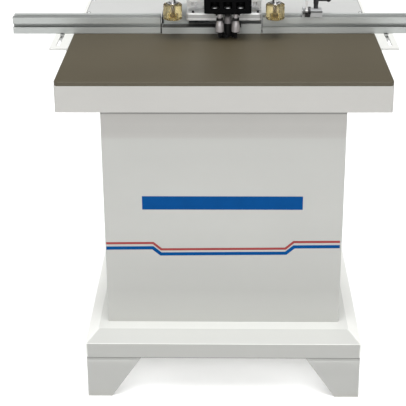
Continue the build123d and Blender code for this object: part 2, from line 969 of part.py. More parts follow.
# Fence strip: a low bar between the profiles, stepped up at its right end, with tongues in their
# bottom slots to join all three
tongue_top = table_height + slot_depth
with BuildPart() as fence_strip:
    block(
        (strip_left, strip_right),
        (fence_y, fence_y + profile_size),
        (table_height, table_height + strip_height),
    )
    block(
        (strip_right - strip_step, strip_right),
        (fence_y, fence_y + profile_size),
        (table_height + strip_height, table_height + strip_height + strip_step_rise),
    )
    top_edges = fence_strip.faces().sort_by(Axis.Z)[-1].edges().filter_by(Axis.X)
    chamfer(top_edges, profile_corner / 2)
    block(
        (strip_left - strip_gap - tongue_length, strip_right + strip_gap + tongue_length),
        (fence_middle - slot_width / 2 + tongue_play, fence_middle + slot_width / 2 - tongue_play),
        (tongue_top - tongue_height, tongue_top),
    )
save(fence_strip.part, "fence_strip")

# Fence brackets: slotted angles on the table's sides, level with its top
bracket_front_y = table_front + bracket_front
bracket_slot_x = table_width / 2 + bracket_slot_from_table
slot_front_y = bracket_front_y + bracket_slot_front
slot_back_y = bracket_front_y + bracket_length - bracket_slot_front
with BuildPart() as fence_brackets:
    with BuildSketch(Plane.XZ.offset(-bracket_front_y)):
        with BuildLine():
            Polyline(
                (table_width / 2, table_height),
                (table_width / 2 + bracket_reach, table_height),
                (table_width / 2 + bracket_reach, table_height - bracket_wall),
                (table_width / 2 + bracket_wall, table_height - bracket_wall),
                (table_width / 2 + bracket_wall, table_height - bracket_drop),
                (table_width / 2, table_height - bracket_drop),
                close=True,
            )
        make_face()
    extrude(amount=-bracket_length)
    outer_corners = fence_brackets.edges().filter_by(Axis.Z).sort_by(Axis.X)[-2:]
    fillet(outer_corners, bracket_wall)
    with BuildSketch(Plane.XY.offset(table_height - bracket_wall)):
        with Locations((bracket_slot_x, (slot_front_y + slot_back_y) / 2)):
            SlotOverall(slot_back_y - slot_front_y, bracket_slot_width, rotation=90)
    extrude(amount=bracket_wall, mode=Mode.SUBTRACT)
    mirror(about=Plane.YZ)
save(fence_brackets.part, "fence_brackets")

# Fence clamps: at each bracket a strap underneath, a bolt into the profile and a bolt ahead of it
strap_top = table_height - bracket_wall
strap_bottom = strap_top - strap_height
front_bolt_y = fence_y - clamp_front_bolt
strap_front_y = front_bolt_y - strap_width / 2
strap_back_y = fence_middle + strap_width / 2
nut_bottom = table_height + slot_lip
with BuildPart() as fence_clamps:
    block(
        (bracket_slot_x - strap_width / 2, bracket_slot_x + strap_width / 2),
        (strap_front_y, strap_back_y),
        (strap_bottom, strap_top),
    )
    for spot in (front_bolt_y, fence_middle):
        rod(
            (bracket_slot_x, spot, strap_bottom),
            up,
            strap_height,
            clamp_bolt_radius + clamp_bolt_clearance,
            mode=Mode.SUBTRACT,
        )
    rod(
        (bracket_slot_x, front_bolt_y, strap_bottom - clamp_head_height),
        up,
        table_height + clamp_head_height - strap_bottom,
        clamp_bolt_radius,
    )
    rod((bracket_slot_x, front_bolt_y, table_height), up, clamp_head_height, clamp_head_radius)
    rod(
        (bracket_slot_x, front_bolt_y, strap_bottom - clamp_head_height),
        up,
        clamp_head_height,
        clamp_head_radius,
    )
    rod(
        (bracket_slot_x, fence_middle, strap_bottom - clamp_head_height),
        up,
        clamp_head_height,
        clamp_head_radius,
    )
    rod(
        (bracket_slot_x, fence_middle, strap_bottom),
        up,
        nut_bottom + t_nut_height - strap_bottom,
        clamp_bolt_radius,
    )
    block(
        (bracket_slot_x - t_nut_length / 2, bracket_slot_x + t_nut_length / 2),
        (fence_middle - t_nut_width / 2, fence_middle + t_nut_width / 2),
        (nut_bottom, nut_bottom + t_nut_height),
    )
    mirror(about=Plane.YZ)
save(fence_clamps.part, "fence_clamps")

# Head base plate: the bright plate over the suction mouth
with BuildPart() as head_base_plate:
    with BuildSketch(Plane.XY.offset(housing_top)):
        with Locations((0, (fence_y + head_plate_back) / 2)):
            RectangleRounded(head_plate_width, head_plate_depth, head_plate_corner)
    extrude(amount=head_plate_thickness)
    chamfer(head_base_plate.faces().sort_by(Axis.Z)[-1].edges(), head_plate_edge)
save(head_base_plate.part, "head_base_plate")

# Upright: a plate with two gussets behind, a rounded window and a bridge across its top
bridge_front = upright_front - bridge_reach
with BuildPart() as upright:
    block(
        (-head_plate_width / 2, head_plate_width / 2),
        (upright_front, upright_back),
        (head_plate_top, upright_top),
    )
    for side in (-1, 1):
        with BuildSketch(Plane.YZ.offset(side * gusset_spread / 2 - gusset_thickness / 2)):
            with BuildLine():
                Polyline(
                    (upright_back, head_plate_top),
                    (upright_back + gusset_depth, head_plate_top),
                    (upright_back + gusset_depth, head_plate_top + gusset_top_gap),
                    (upright_back + gusset_thickness, upright_top - gusset_top_gap),
                    (upright_back, upright_top - gusset_top_gap),
                    close=True,
                )
            make_face()
        extrude(amount=gusset_thickness)
    block(
        (-bridge_width / 2, bridge_width / 2),
        (bridge_front, upright_back),
        (upright_top, bridge_top),
    )
    fillet(upright.edges().filter_by(Axis.Z).sort_by(Axis.Y)[:2], gusset_thickness / 2)
    window_middle = upright_top - upright_window_rise - upright_window_height / 2
    with BuildSketch(Plane.XZ.offset(-upright_back)):
        with Locations((0, window_middle)):
            SlotOverall(upright_window_height, upright_window_width, rotation=90)
    extrude(amount=upright_thickness, mode=Mode.SUBTRACT)
    rod((0, feed_y, upright_top), up, bridge_thickness, feed_rod + rod_hole_clearance, mode=Mode.SUBTRACT)
    rod(
        (stop_rod_x, feed_y, upright_top),
        up,
        bridge_thickness,
        stop_rod_radius + stop_rod_clearance,
        mode=Mode.SUBTRACT,
    )
save(upright.part, "upright")

# Linear rails: two waisted bars on the upright's face
rail_bottom = head_plate_top + rail_end_gap
rail_top = upright_top - rail_end_gap
rail_front = upright_front - rail_height
with BuildPart() as linear_rails:
    for side in (-1, 1):
        rail_x = side * rail_spread / 2
        with BuildSketch(Plane.XY.offset(rail_bottom)):
            with Locations((rail_x, upright_front - rail_height / 2)):
                Rectangle(rail_width, rail_height)
                with Locations((-rail_width / 2, 0), (rail_width / 2, 0)):
                    Rectangle(2 * rail_groove, rail_groove_width, mode=Mode.SUBTRACT)
        extrude(amount=rail_top - rail_bottom)
save(linear_rails.part, "linear_rails")

# Rail carriages: four blocks that run on the rails and carry the saddle
carriage_heights = (
    saddle_bottom + carriage_end_gap,
    saddle_top - carriage_end_gap - carriage_length,
)
with BuildPart() as rail_carriages:
    for side in (-1, 1):
        for height in carriage_heights:
            rail_x = side * rail_spread / 2
            with BuildSketch(Plane.XY.offset(height)):
                with Locations((rail_x, (saddle_back + upright_front - carriage_base_gap) / 2)):
                    Rectangle(carriage_width, carriage_stack - carriage_base_gap)
                with Locations((rail_x, (rail_front - carriage_rail_gap + upright_front) / 2)):
                    Rectangle(
                        rail_width + 2 * carriage_rail_gap,
                        rail_height + carriage_rail_gap,
                        mode=Mode.SUBTRACT,
                    )
            extrude(amount=carriage_length)
save(rail_carriages.part, "rail_carriages")

# Head saddle: the plate that rides on the carriages, with a lug on top for the feed rod
with BuildPart() as head_saddle:
    with BuildSketch(Plane.XZ.offset(-saddle_back)):
        with Locations((0, (saddle_bottom + saddle_top) / 2)):
            RectangleRounded(saddle_width, saddle_height, saddle_corner)
    extrude(amount=saddle_thickness)
    block(
        (-lug_width / 2, stop_rod_x + stop_nut_radius),
        (saddle_front, upright_front - lug_back_gap),
        (saddle_top - saddle_corner, lug_top),
    )
    block(
        (-lug_width / 2, stop_rod_x + stop_nut_radius),
        (saddle_back, upright_front),
        (saddle_top - saddle_corner, saddle_top),
        mode=Mode.SUBTRACT,
    )
save(head_saddle.part, "head_saddle")

# Gear head: a black block, hollowed from below for the three gears and bored for the bearings,
# with three pockets in its face for the grease caps
gear_module = gear_distance / gear_teeth
gear_tip = gear_distance / 2 + gear_addendum * gear_module
gear_bottom = gearbox_bottom + gear_rise
gear_top = gear_bottom + gear_width
upper_bearing = gear_top + gear_room
spindle_top = upper_bearing + bearing_width
cap_y = gearbox_front + cap_setback
cap_seat = gearbox_bottom + cap_rise
cap_places = [(head_x - cap_spread, cap_y), (head_x, cap_y), (head_x + cap_spread, cap_y)]
with BuildPart() as gearbox_housing:
    block(
        (head_x - gearbox_width / 2, head_x + gearbox_width / 2),
        (gearbox_front, saddle_front),
        (gearbox_bottom, gearbox_top),
    )
    fillet(gearbox_housing.edges().filter_by(Axis.Z).sort_by(Axis.Y)[:2], gearbox_corner)
    front_face_edges = gearbox_housing.faces().sort_by(Axis.Y)[0].edges().filter_by(Axis.X)
    fillet(front_face_edges, gearbox_edge)
    with BuildSketch(Plane.XY.offset(gearbox_bottom)):
        with Locations(*spindle_places):
            Circle(gear_tip + gear_room)
    extrude(amount=upper_bearing - gearbox_bottom, mode=Mode.SUBTRACT)
    with BuildSketch(Plane.XY.offset(cap_seat)):
        with Locations(*cap_places):
            Circle(cap_pocket_radius)
            Rectangle(2 * cap_pocket_radius, cap_setback, align=(Align.CENTER, Align.MAX))
    extrude(amount=cap_pocket_height, mode=Mode.SUBTRACT)
    for place in spindle_places:
        rod((*place, upper_bearing), up, bearing_width, bearing_radius, mode=Mode.SUBTRACT)
    rod(
        (*centre_spindle_at, spindle_top),
        up,
        gearbox_top - spindle_top,
        rotor_shaft + rotor_gap,
        mode=Mode.SUBTRACT,
    )
save(gearbox_housing.part, "gearbox_housing")

# Spindle plate: a thin three-lobed cover under the gear head that holds the lower bearings
plate_bottom = gearbox_bottom - spindle_plate_thickness
lower_bearing = gearbox_bottom - bearing_width
with BuildPart() as spindle_plate:
    with BuildSketch(Plane.XY.offset(plate_bottom)):
        with BuildLine():
            for place in spindle_places:
                CenterArc(place, gear_tip + spindle_plate_margin / 2, 0, 360)
        make_hull()
    extrude(amount=spindle_plate_thickness)
    chamfer(spindle_plate.faces().sort_by(Axis.Z)[0].edges(), gearbox_edge / 2)
    for place in spindle_places:
        rod((*place, lower_bearing), up, bearing_width, bearing_radius, mode=Mode.SUBTRACT)
        rod(
            (*place, plate_bottom),
            up,
            spindle_plate_thickness,
            shaft_radius + bearing_lip_clearance,
            mode=Mode.SUBTRACT,
        )
save(spindle_plate.part, "spindle_plate")

# Grease caps: three domed plugs that stand on the floors of the gear head's pockets
with BuildPart() as grease_caps:
    dome_radius = (cap_radius**2 + cap_dome**2) / (2 * cap_dome)
    for place in cap_places:
        with BuildSketch(Plane(origin=(*place, cap_seat), x_dir=right, z_dir=forward)):
            with BuildLine():
                Polyline((0, cap_rim + cap_dome), (0, 0), (cap_radius, 0), (cap_radius, cap_rim))
                RadiusArc((cap_radius, cap_rim), (0, cap_rim + cap_dome), -dome_radius)
            make_face()
        revolve(axis=Axis((*place, cap_seat), up))
save(grease_caps.part, "grease_caps")

# Spindle bearings: one below and one above each gear
with BuildPart() as spindle_bearings:
    for place in spindle_places:
        for height in (lower_bearing, upper_bearing):
            rod((*place, height), up, bearing_width, bearing_radius)
            rod((*place, height), up, bearing_width, shaft_radius + shaft_clearance, mode=Mode.SUBTRACT)
save(spindle_bearings.part, "spindle_bearings")


def involute(angle):
    """The involute of an angle in radians."""
    return math.tan(angle) - angle


def gear_outline(phase):
    """Corners of a spur gear about its own centre, with a tooth at the phase angle in degrees."""
    pitch_radius = gear_distance / 2
    base_radius = pitch_radius * math.cos(math.radians(gear_pressure_angle))
    root_radius = pitch_radius - gear_dedendum * gear_module
    tooth_width = math.pi * gear_module / 2 - gear_backlash
    half_at_base = tooth_width / 2 / pitch_radius + involute(math.radians(gear_pressure_angle))
    flank = [(root_radius, half_at_base)]
    for step in range(flank_steps):
        radius = base_radius + (gear_tip - base_radius) * step / (flank_steps - 1)
        flank.append((radius, half_at_base - involute(math.acos(base_radius / radius))))
    corners = []
    for tooth in range(gear_teeth):
        middle = math.radians(phase) + tooth * 2 * math.pi / gear_teeth
        turns = [(radius, middle - half) for radius, half in flank]
        turns += [(radius, middle + half) for radius, half in reversed(flank)]
        corners += [(radius * math.cos(turn), radius * math.sin(turn)) for radius, turn in turns]
    return corners


def gear_phase(place):
    """The turn that puts a side gear's gap on the centre gear's tooth, in degrees."""
    line = math.degrees(math.atan2(place[1] - drill_y, place[0] - head_x))
    return 2 * line + 180 + 180 / gear_teeth


def gear_body(place, phase):
    """The toothed part of a spindle."""
    with BuildSketch(Plane(origin=(*place, gear_bottom))) as teeth:
        with BuildLine():
            Polyline(*gear_outline(phase), close=True)
        make_face()
    extrude(teeth.sketch, amount=gear_width)


# Centre spindle: a geared shaft with a short steel nose, bored for the hinge bit
centre_nose_low = table_height + centre_nose_bottom
with BuildPart() as centre_spindle:
    turned(
        centre_spindle_at,
        [
            (0, centre_nose_low),
            (nose_radius, centre_nose_low),
            (nose_radius, centre_nose_low + centre_nose_height),
            (shaft_radius, centre_nose_low + centre_nose_height + nose_radius - shaft_radius),
            (shaft_radius, spindle_top),
            (0, spindle_top),
        ],
    )
    gear_body(centre_spindle_at, 0)
    rod(
        (*centre_spindle_at, centre_nose_low),
        up,
        bit_socket_depth,
        bit_shank_radius + bit_fit,
        mode=Mode.SUBTRACT,
    )
save(centre_spindle.part, "centre_spindle")

# Hinge bit: a 35 mm cutter with two gullets, a centre point and two spurs, on a thick black hub
bit_low = table_height + bit_tip_gap
head_low = bit_low + hinge_bit_tip
with BuildPart() as hinge_bit:
    turned(
        centre_spindle_at,
        [
            (0, head_low),
            (hinge_bit_radius, head_low),
            (hinge_bit_radius, head_low + hinge_bit_head),
            (hinge_bit_hub, head_low + hinge_bit_head),
            (hinge_bit_hub, centre_nose_low),
            (bit_shank_radius, centre_nose_low),
            (bit_shank_radius, centre_nose_low + bit_socket_depth),
            (0, centre_nose_low + bit_socket_depth),
        ],
    )
    with BuildSketch(Plane(origin=(*centre_spindle_at, head_low))):
        with PolarLocations(hinge_bit_radius, 2, start_angle=hinge_bit_turn):
            Rectangle(2 * (hinge_bit_radius - hinge_bit_hub / 2), hinge_bit_gullet)
    extrude(amount=hinge_bit_head, mode=Mode.SUBTRACT)
    with BuildSketch(Plane(origin=(*centre_spindle_at, head_low))):
        with PolarLocations(hinge_bit_radius - hinge_bit_spur, 2, start_angle=hinge_bit_turn + 90):
            Rectangle(hinge_bit_spur, hinge_bit_gullet / 2)
    extrude(amount=-hinge_bit_spur)
    turned(
        centre_spindle_at,
        [(0, bit_low), (hinge_bit_tip_radius, head_low), (0, head_low + hinge_bit_head)],
    )
save(hinge_bit.part, "hinge_bit")

# Side spindles: geared shafts with long bell-shaped noses, and the 8 mm dowel bits in them
side_nose_low = table_height + side_nose_bottom
bell_top = side_nose_low + side_nose_height
bell_low = bell_top - side_nose_bell
for side, place in (("left", left_spindle_at), ("right", right_spindle_at)):
    with BuildPart() as side_spindle:
        with BuildSketch(Plane(origin=(*place, 0), x_dir=right, z_dir=forward)):
            with BuildLine():
                Polyline(
                    (shaft_radius, bell_top),
                    (shaft_radius, spindle_top),
                    (0, spindle_top),
                    (0, side_nose_low),
                    (side_nose_radius - side_nose_edge, side_nose_low),
                    (side_nose_radius, side_nose_low + side_nose_edge),
                    (side_nose_radius, bell_low),
                )
                TangentArc((side_nose_radius, bell_low), (shaft_radius, bell_top), tangent=(0, 1))
            make_face()
        revolve(axis=Axis((*place, 0), up))
        gear_body(place, gear_phase(place))
        rod(
            (*place, side_nose_low),
            up,
            bit_socket_depth,
            dowel_bit_radius + bit_fit,
            mode=Mode.SUBTRACT,
        )
    save(side_spindle.part, f"{side}_spindle")
    with BuildPart() as dowel_bit:
        turned(
            place,
            [
                (0, bit_low),
                (dowel_bit_radius, bit_low + dowel_bit_tip),
                (dowel_bit_radius, side_nose_low + bit_socket_depth),
                (0, side_nose_low + bit_socket_depth),
            ],
        )
        with BuildSketch(Plane(origin=(*place, bit_low))):
            with PolarLocations(dowel_bit_radius, 2):
                Circle(dowel_bit_flute)
        extrude(amount=side_nose_low - bit_low, mode=Mode.SUBTRACT)
    save(dowel_bit.part, f"{side}_bit")

# Motor housing: a finned can on a square flange, with a terminal box on its left
motor_bottom = gearbox_top + motor_flange
motor_top = motor_bottom + motor_length
with BuildPart() as motor_housing:
    with BuildSketch(Plane.XY.offset(gearbox_top)):
        with Locations(centre_spindle_at):
            RectangleRounded(motor_flange_width, motor_flange_width, gearbox_corner)
    extrude(amount=motor_flange)
    with BuildSketch(Plane.XY.offset(motor_bottom)):
        with Locations(centre_spindle_at):
            Circle(motor_core_radius)
            with PolarLocations((motor_core_radius + motor_radius) / 2 - motor_fin, motor_fins):
                Rectangle(motor_radius - motor_core_radius + 2 * motor_fin, motor_fin)
    extrude(amount=motor_length)
    terminal_edge = head_x - motor_radius - terminal_reach
    terminal_bottom = (motor_bottom + motor_top - terminal_height) / 2
    with BuildSketch(Plane.YZ.offset(terminal_edge)):
        with Locations((drill_y, terminal_bottom + terminal_height / 2)):
            RectangleRounded(terminal_width, terminal_height, terminal_corner)
    extrude(amount=terminal_reach + motor_radius - motor_core_radius + motor_fin)
    rod(
        (*centre_spindle_at, motor_bottom + motor_wall),
        up,
        motor_length - 2 * motor_wall,
        rotor_radius + rotor_gap,
        mode=Mode.SUBTRACT,
    )
    rod(
        (*centre_spindle_at, gearbox_top),
        up,
        motor_flange + motor_length,
        rotor_shaft + shaft_clearance,
        mode=Mode.SUBTRACT,
    )
save(motor_housing.part, "motor_housing")

# Motor rotor: the shaft that drives the centre spindle, its core and the cooling fan
rotor_low = motor_bottom + rotor_end_gap
rotor_high = motor_top - rotor_end_gap
fan_low = motor_top + fan_gap
with BuildPart() as motor_rotor:
    rod((*centre_spindle_at, spindle_top), up, fan_low + fan_height - spindle_top, rotor_shaft)
    rod((*centre_spindle_at, rotor_low), up, rotor_high - rotor_low, rotor_radius)
    rod((*centre_spindle_at, fan_low), up, fan_height, fan_hub)
    with BuildSketch(Plane.XY.offset(fan_low)):
        with Locations(centre_spindle_at):
            with PolarLocations(fan_radius / 2, fan_blades):
                Rectangle(fan_radius, fan_blade)
    extrude(amount=fan_height)
save(motor_rotor.part, "motor_rotor")

# Fan cover: a pressed cup over the fan with a ring of air slots in its top
with BuildPart() as motor_fan_cover:
    rod((*centre_spindle_at, motor_top), up, fan_cover_height, motor_radius)
    chamfer(motor_fan_cover.faces().sort_by(Axis.Z)[-1].edges(), fan_cover_edge)
    offset(amount=-fan_cover_wall, openings=motor_fan_cover.faces().sort_by(Axis.Z)[0])
    with BuildSketch(Plane.XY.offset(motor_top + fan_cover_height - fan_cover_wall)):
        with Locations(centre_spindle_at):
            with PolarLocations(vent_middle, vent_slots):
                Rectangle(vent_length, vent_width)
    extrude(amount=fan_cover_wall, mode=Mode.SUBTRACT)
save(motor_fan_cover.part, "motor_fan_cover")


def air_cylinder(place, low, cap, cap_height, barrel, bore, chamber, rod_radius):
    """A tie-rod air cylinder standing on its rod end, hollow for its piston."""
    top_cap = low + cap_height + chamber
    for height in (low, top_cap):
        with BuildSketch(Plane.XY.offset(height)) as cap_plan:
            with Locations(place):
                RectangleRounded(cap, cap, tie_rod_inset / 2)
        extrude(cap_plan.sketch, amount=cap_height)
    rod((*place, low), up, chamber + 2 * cap_height, barrel)
    with BuildSketch(Plane.XY.offset(low)) as tie_plan:
        with Locations(place):
            with GridLocations(cap - 2 * tie_rod_inset, cap - 2 * tie_rod_inset, 2, 2):
                Circle(tie_rod_radius)
    extrude(tie_plan.sketch, amount=chamber + 2 * cap_height)
    rod((*place, low + cap_height), up, chamber, bore, mode=Mode.SUBTRACT)
    rod((*place, low), up, cap_height, rod_radius + rod_gland_clearance, mode=Mode.SUBTRACT)


# Feed cylinder on the bridge, and its rod and piston down to the saddle's lug
feed_at = (0, feed_y)
feed_chamber_low = bridge_top + feed_cap_height
with BuildPart() as lift_cylinder:
    air_cylinder(
        feed_at,
        bridge_top,
        feed_cap,
        feed_cap_height,
        feed_barrel_radius,
        feed_bore,
        feed_chamber,
        feed_rod,
    )
save(lift_cylinder.part, "lift_cylinder")

feed_piston_low = feed_chamber_low + piston_end_gap
with BuildPart() as lift_rod:
    rod((*feed_at, lug_top), up, feed_piston_low - lug_top, feed_rod)
    rod((*feed_at, feed_piston_low), up, piston_height, feed_bore - piston_gap)
    with BuildSketch(Plane.XY.offset(lug_top)):
        with Locations(feed_at):
            RegularPolygon(feed_rod + tie_rod_inset, 6)
    extrude(amount=stop_nut_height)
save(lift_rod.part, "lift_rod")

# Depth stop: a threaded rod on the lug with two nuts that land on the bridge
with BuildPart() as depth_stop:
    rod((stop_rod_x, feed_y, lug_top), up, bridge_top + stop_rod_above - lug_top, stop_rod_radius)
    for height in (bridge_top, bridge_top + stop_nut_height + stop_nut_gap):
        with BuildSketch(Plane.XY.offset(height)):
            with Locations((stop_rod_x, feed_y)):
                RegularPolygon(stop_nut_radius, 6)
        extrude(amount=stop_nut_height)
save(depth_stop.part, "depth_stop")

# Press arms: plates out from the upright's sides that carry the press cylinders
pad_x = pad_spread / 2
upright_side = head_plate_width / 2
arm_front_y = pad_y - arm_front
with BuildPart() as holddown_arms:
    block(
        (pad_x - arm_width / 2, pad_x + arm_width / 2),
        (arm_front_y, upright_back),
        (arm_bottom, arm_top),
    )
    block((upright_side, pad_x), (upright_front, upright_back), (arm_bottom, arm_top))
    block(
        (upright_side, upright_side + arm_thickness),
        (upright_front, upright_back),
        (arm_bottom - arm_thickness, arm_bottom + arm_flange_height),
    )
    fillet(holddown_arms.edges().filter_by(Axis.Z).sort_by(Axis.Y)[:2], arm_thickness)
    rod((pad_x, pad_y, arm_bottom), up, arm_thickness, press_rod + rod_hole_clearance, mode=Mode.SUBTRACT)
    mirror(about=Plane.YZ)
save(holddown_arms.part, "holddown_arms")

# Press cylinders, standing on the arms
with BuildPart() as holddown_cylinders:
    air_cylinder(
        (pad_x, pad_y),
        arm_top,
        press_cap,
        press_cap_height,
        press_barrel_radius,
        press_bore,
        press_chamber,
        press_rod,
    )
    mirror(about=Plane.YZ)
save(holddown_cylinders.part, "holddown_cylinders")

# Press rods with their pistons and pad screws, and the amber pads that the screws hold
press_piston_top = arm_top + press_cap_height + press_chamber - piston_end_gap
screw_seat = pad_bottom + pad_recess_depth
for side, side_x in (("left", -pad_x), ("right", pad_x)):
    place = (side_x, pad_y)
    with BuildPart() as pad_rod:
        turned(
            place,
            [
                (0, screw_seat - pad_screw_head_height),
                (pad_screw_head, screw_seat - pad_screw_head_height),
                (pad_screw_head, screw_seat),
                (pad_screw_radius, screw_seat),
                (pad_screw_radius, pad_top),
                (pad_washer_radius, pad_top),
                (pad_washer_radius, pad_top + pad_washer),
                (press_rod, pad_top + pad_washer),
                (press_rod, press_piston_top - press_piston),
                (press_bore - piston_gap, press_piston_top - press_piston),
                (press_bore - piston_gap, press_piston_top),
                (0, press_piston_top),
            ],
        )
    save(pad_rod.part, f"pad_rod_{side}")
    with BuildPart() as press_pad:
        rod((*place, pad_bottom), up, pad_height, pad_radius)
        chamfer(press_pad.edges().filter_by(GeomType.CIRCLE), pad_edge)
        rod((*place, pad_bottom), up, pad_recess_depth, pad_recess_radius, mode=Mode.SUBTRACT)
        screw_hole = pad_screw_radius + pad_screw_clearance
        rod((*place, pad_bottom), up, pad_height, screw_hole, mode=Mode.SUBTRACT)
    save(press_pad.part, f"press_pad_{side}")

# Flip stop: a block on the fence's top with a fork ahead of it for the finger
fence_top = table_height + profile_size
stop_right = stop_left + stop_block_width
stop_front = fence_y - stop_block_front
stop_back = stop_front + stop_block_depth
fork_left = stop_left - fork_width
pivot_y = fence_y - stop_pivot_ahead
pivot_z = fence_top + stop_pivot_rise
lever_x = (stop_left + stop_right) / 2
stop_block_top = fence_top + stop_block_height
ear_bottom = pivot_z - fork_ear_radius
finger_left = fork_left + fork_ear + fork_gap
finger_right = stop_left - fork_ear - fork_gap
finger_web = pivot_y + finger_thickness
with BuildPart() as stop_block:
    block((stop_left, stop_right), (stop_front, stop_back), (fence_top, stop_block_top))
    chamfer(stop_block.faces().sort_by(Axis.Z)[-1].edges(), head_plate_edge)
    block((fork_left, stop_left), (finger_web, fence_middle), (fence_top, stop_block_top))
    for ear_left in (fork_left, stop_left - fork_ear):
        with BuildSketch(Plane.YZ.offset(ear_left)):
            with Locations((pivot_y, pivot_z)):
                Circle(fork_ear_radius)
            with Locations((pivot_y, ear_bottom)):
                Rectangle(fence_middle - pivot_y, stop_block_top - ear_bottom, align=Align.MIN)
        extrude(amount=fork_ear)
    rod(
        (fork_left, pivot_y, pivot_z),
        right,
        fork_width,
        stop_pin_radius + stop_pin_clearance,
        mode=Mode.SUBTRACT,
    )
    rod((lever_x, fence_middle, fence_top), up, stop_block_height, lever_stud_hole, mode=Mode.SUBTRACT)
save(stop_block.part, "stop_block")

# Stop fittings: the finger's pivot pin, and the T-nut in the fence's top slot
stop_nut_top = fence_top - slot_lip - t_nut_play
with BuildPart() as stop_fittings:
    pin_length = fork_width + 2 * stop_pin_head
    rod((fork_left - stop_pin_head, pivot_y, pivot_z), right, pin_length, stop_pin_radius)
    block(
        (lever_x - t_nut_length / 2, lever_x + t_nut_length / 2),
        (fence_middle - t_nut_width / 2, fence_middle + t_nut_width / 2),
        (stop_nut_top - t_nut_height + t_nut_play, stop_nut_top),
    )
    rod(
        (lever_x, fence_middle, stop_nut_top - t_nut_height),
        up,
        t_nut_height,
        lever_stud + shaft_clearance,
        mode=Mode.SUBTRACT,
    )
save(stop_fittings.part, "stop_fittings")

# Stop finger: a flat arm standing up on the pin, ready to flip down ahead of the fence
with BuildPart() as stop_finger:
    with BuildSketch(Plane.YZ.offset(finger_left)):
        with Locations((pivot_y, pivot_z)):
            Circle(finger_thickness / 2 + stop_pin_head)
        with Locations((pivot_y, pivot_z + (finger_length - finger_thickness / 2) / 2)):
            Rectangle(finger_thickness, finger_length - finger_thickness / 2)
        with Locations((pivot_y, pivot_z + finger_length - finger_thickness / 2)):
            Circle(finger_thickness / 2)
    extrude(amount=finger_right - finger_left)
    rod(
        (finger_left, pivot_y, pivot_z),
        right,
        finger_right - finger_left,
        stop_pin_radius + stop_pin_clearance,
        mode=Mode.SUBTRACT,
    )
save(stop_finger.part, "stop_finger")

# Clamping lever: a black hub with an arm and ball end, screwed down through the block into the T-nut
lever_arm_z = stop_block_top + lever_arm_rise
with BuildPart() as stop_lever:
    turned(
        (lever_x, fence_middle),
        [
            (0, stop_nut_top - t_nut_height + t_nut_play),
            (lever_stud, stop_nut_top - t_nut_height + t_nut_play),
            (lever_stud, stop_block_top),
            (lever_foot_radius, stop_block_top),
            (lever_foot_radius, stop_block_top + lever_hub_height / 3),
            (lever_hub_radius, stop_block_top + lever_hub_height / 2),
            (lever_hub_radius, stop_block_top + lever_hub_height),
            (0, stop_block_top + lever_hub_height),
        ],
    )
    rod(
        (lever_x, fence_middle, lever_arm_z),
        right,
        lever_arm_length - lever_ball_radius,
        lever_arm_radius,
    )
    with Locations((lever_x + lever_arm_length - lever_ball_radius, fence_middle, lever_arm_z)):
        Sphere(lever_ball_radius)
save(stop_lever.part, "stop_lever")

# Control box: beside the upright, facing the operator, with a bezel round each button
control_left = upright_side + control_gap
control_right = control_left + control_width
control_front = upright_front - control_front_ahead
control_back = control_front + control_depth
control_low = table_height + control_bottom
control_top = control_low + control_height
control_x = (control_left + control_right) / 2
control_z = (control_low + control_top) / 2
button_heights = {
    "start_button": control_z + button_spread / 2,
    "stop_button": control_z - button_spread / 2,
}
with BuildPart() as control_box:
    block((control_left, control_right), (control_front, control_back), (control_low, control_top))
    fillet(control_box.edges().filter_by(Axis.Y), control_corner)
    block(
        (upright_side, control_left + control_corner),
        (upright_front, upright_front + control_tab),
        (control_z - control_tab_height / 2, control_z + control_tab_height / 2),
    )
    for height in button_heights.values():
        face = (control_x, control_front, height)
        rod(face, forward, button_bezel_height, button_radius + button_clearance + button_bezel)
        rod(face, forward, button_bezel_height, button_radius + button_clearance, mode=Mode.SUBTRACT)
        rod(face, back, button_room, button_radius + button_clearance, mode=Mode.SUBTRACT)
save(control_box.part, "control_box")

# Buttons: a plain start button, and a stop button with a mushroom head
button_face = control_front - button_bezel_height - button_stand
with BuildPart() as start_button:
    start_z = button_heights["start_button"]
    rod((control_x, button_face, start_z), back, button_length, button_radius)
    chamfer(start_button.faces().sort_by(Axis.Y)[0].edges(), button_edge)
save(start_button.part, "start_button")

mushroom_face = control_front - button_bezel_height - mushroom_stand - mushroom_height
with BuildPart() as stop_button:
    stop_z = button_heights["stop_button"]
    rod((control_x, mushroom_face, stop_z), back, mushroom_height, mushroom_radius)
    chamfer(stop_button.faces().sort_by(Axis.Y)[0].edges(), mushroom_height / 3)
    rod((control_x, mushroom_face, stop_z), back, mushroom_height + button_length, button_radius)
save(stop_button.part, "stop_button")

# Air regulator: a block on the cabinet's back with a gauge, an inlet port and a socket for its knob
air_front = cabinet_back + air_back_plate
air_y = air_front + air_body / 2
air_top = air_body_bottom + air_body_height
gauge_z = air_top - gauge_radius
with BuildPart() as air_regulator:
    block(
        (services_x - air_body / 2, services_x + air_body / 2),
        (cabinet_back, air_front + air_body),
        (air_body_bottom, air_top),
    )
    fillet(air_regulator.edges().filter_by(Axis.Z).sort_by(Axis.Y)[-2:], control_corner)
    rod((services_x, air_front + air_body, gauge_z), back, gauge_depth, gauge_radius)
    rod(
        (services_x + air_body / 2 - air_port_depth, air_y, air_body_bottom + air_body_height / 3),
        right,
        air_port_depth,
        air_port_radius,
        mode=Mode.SUBTRACT,
    )
    rod(
        (services_x, air_y, air_top - air_stem_depth),
        up,
        air_stem_depth,
        air_stem_radius + shaft_clearance,
        mode=Mode.SUBTRACT,
    )
save(air_regulator.part, "air_regulator")

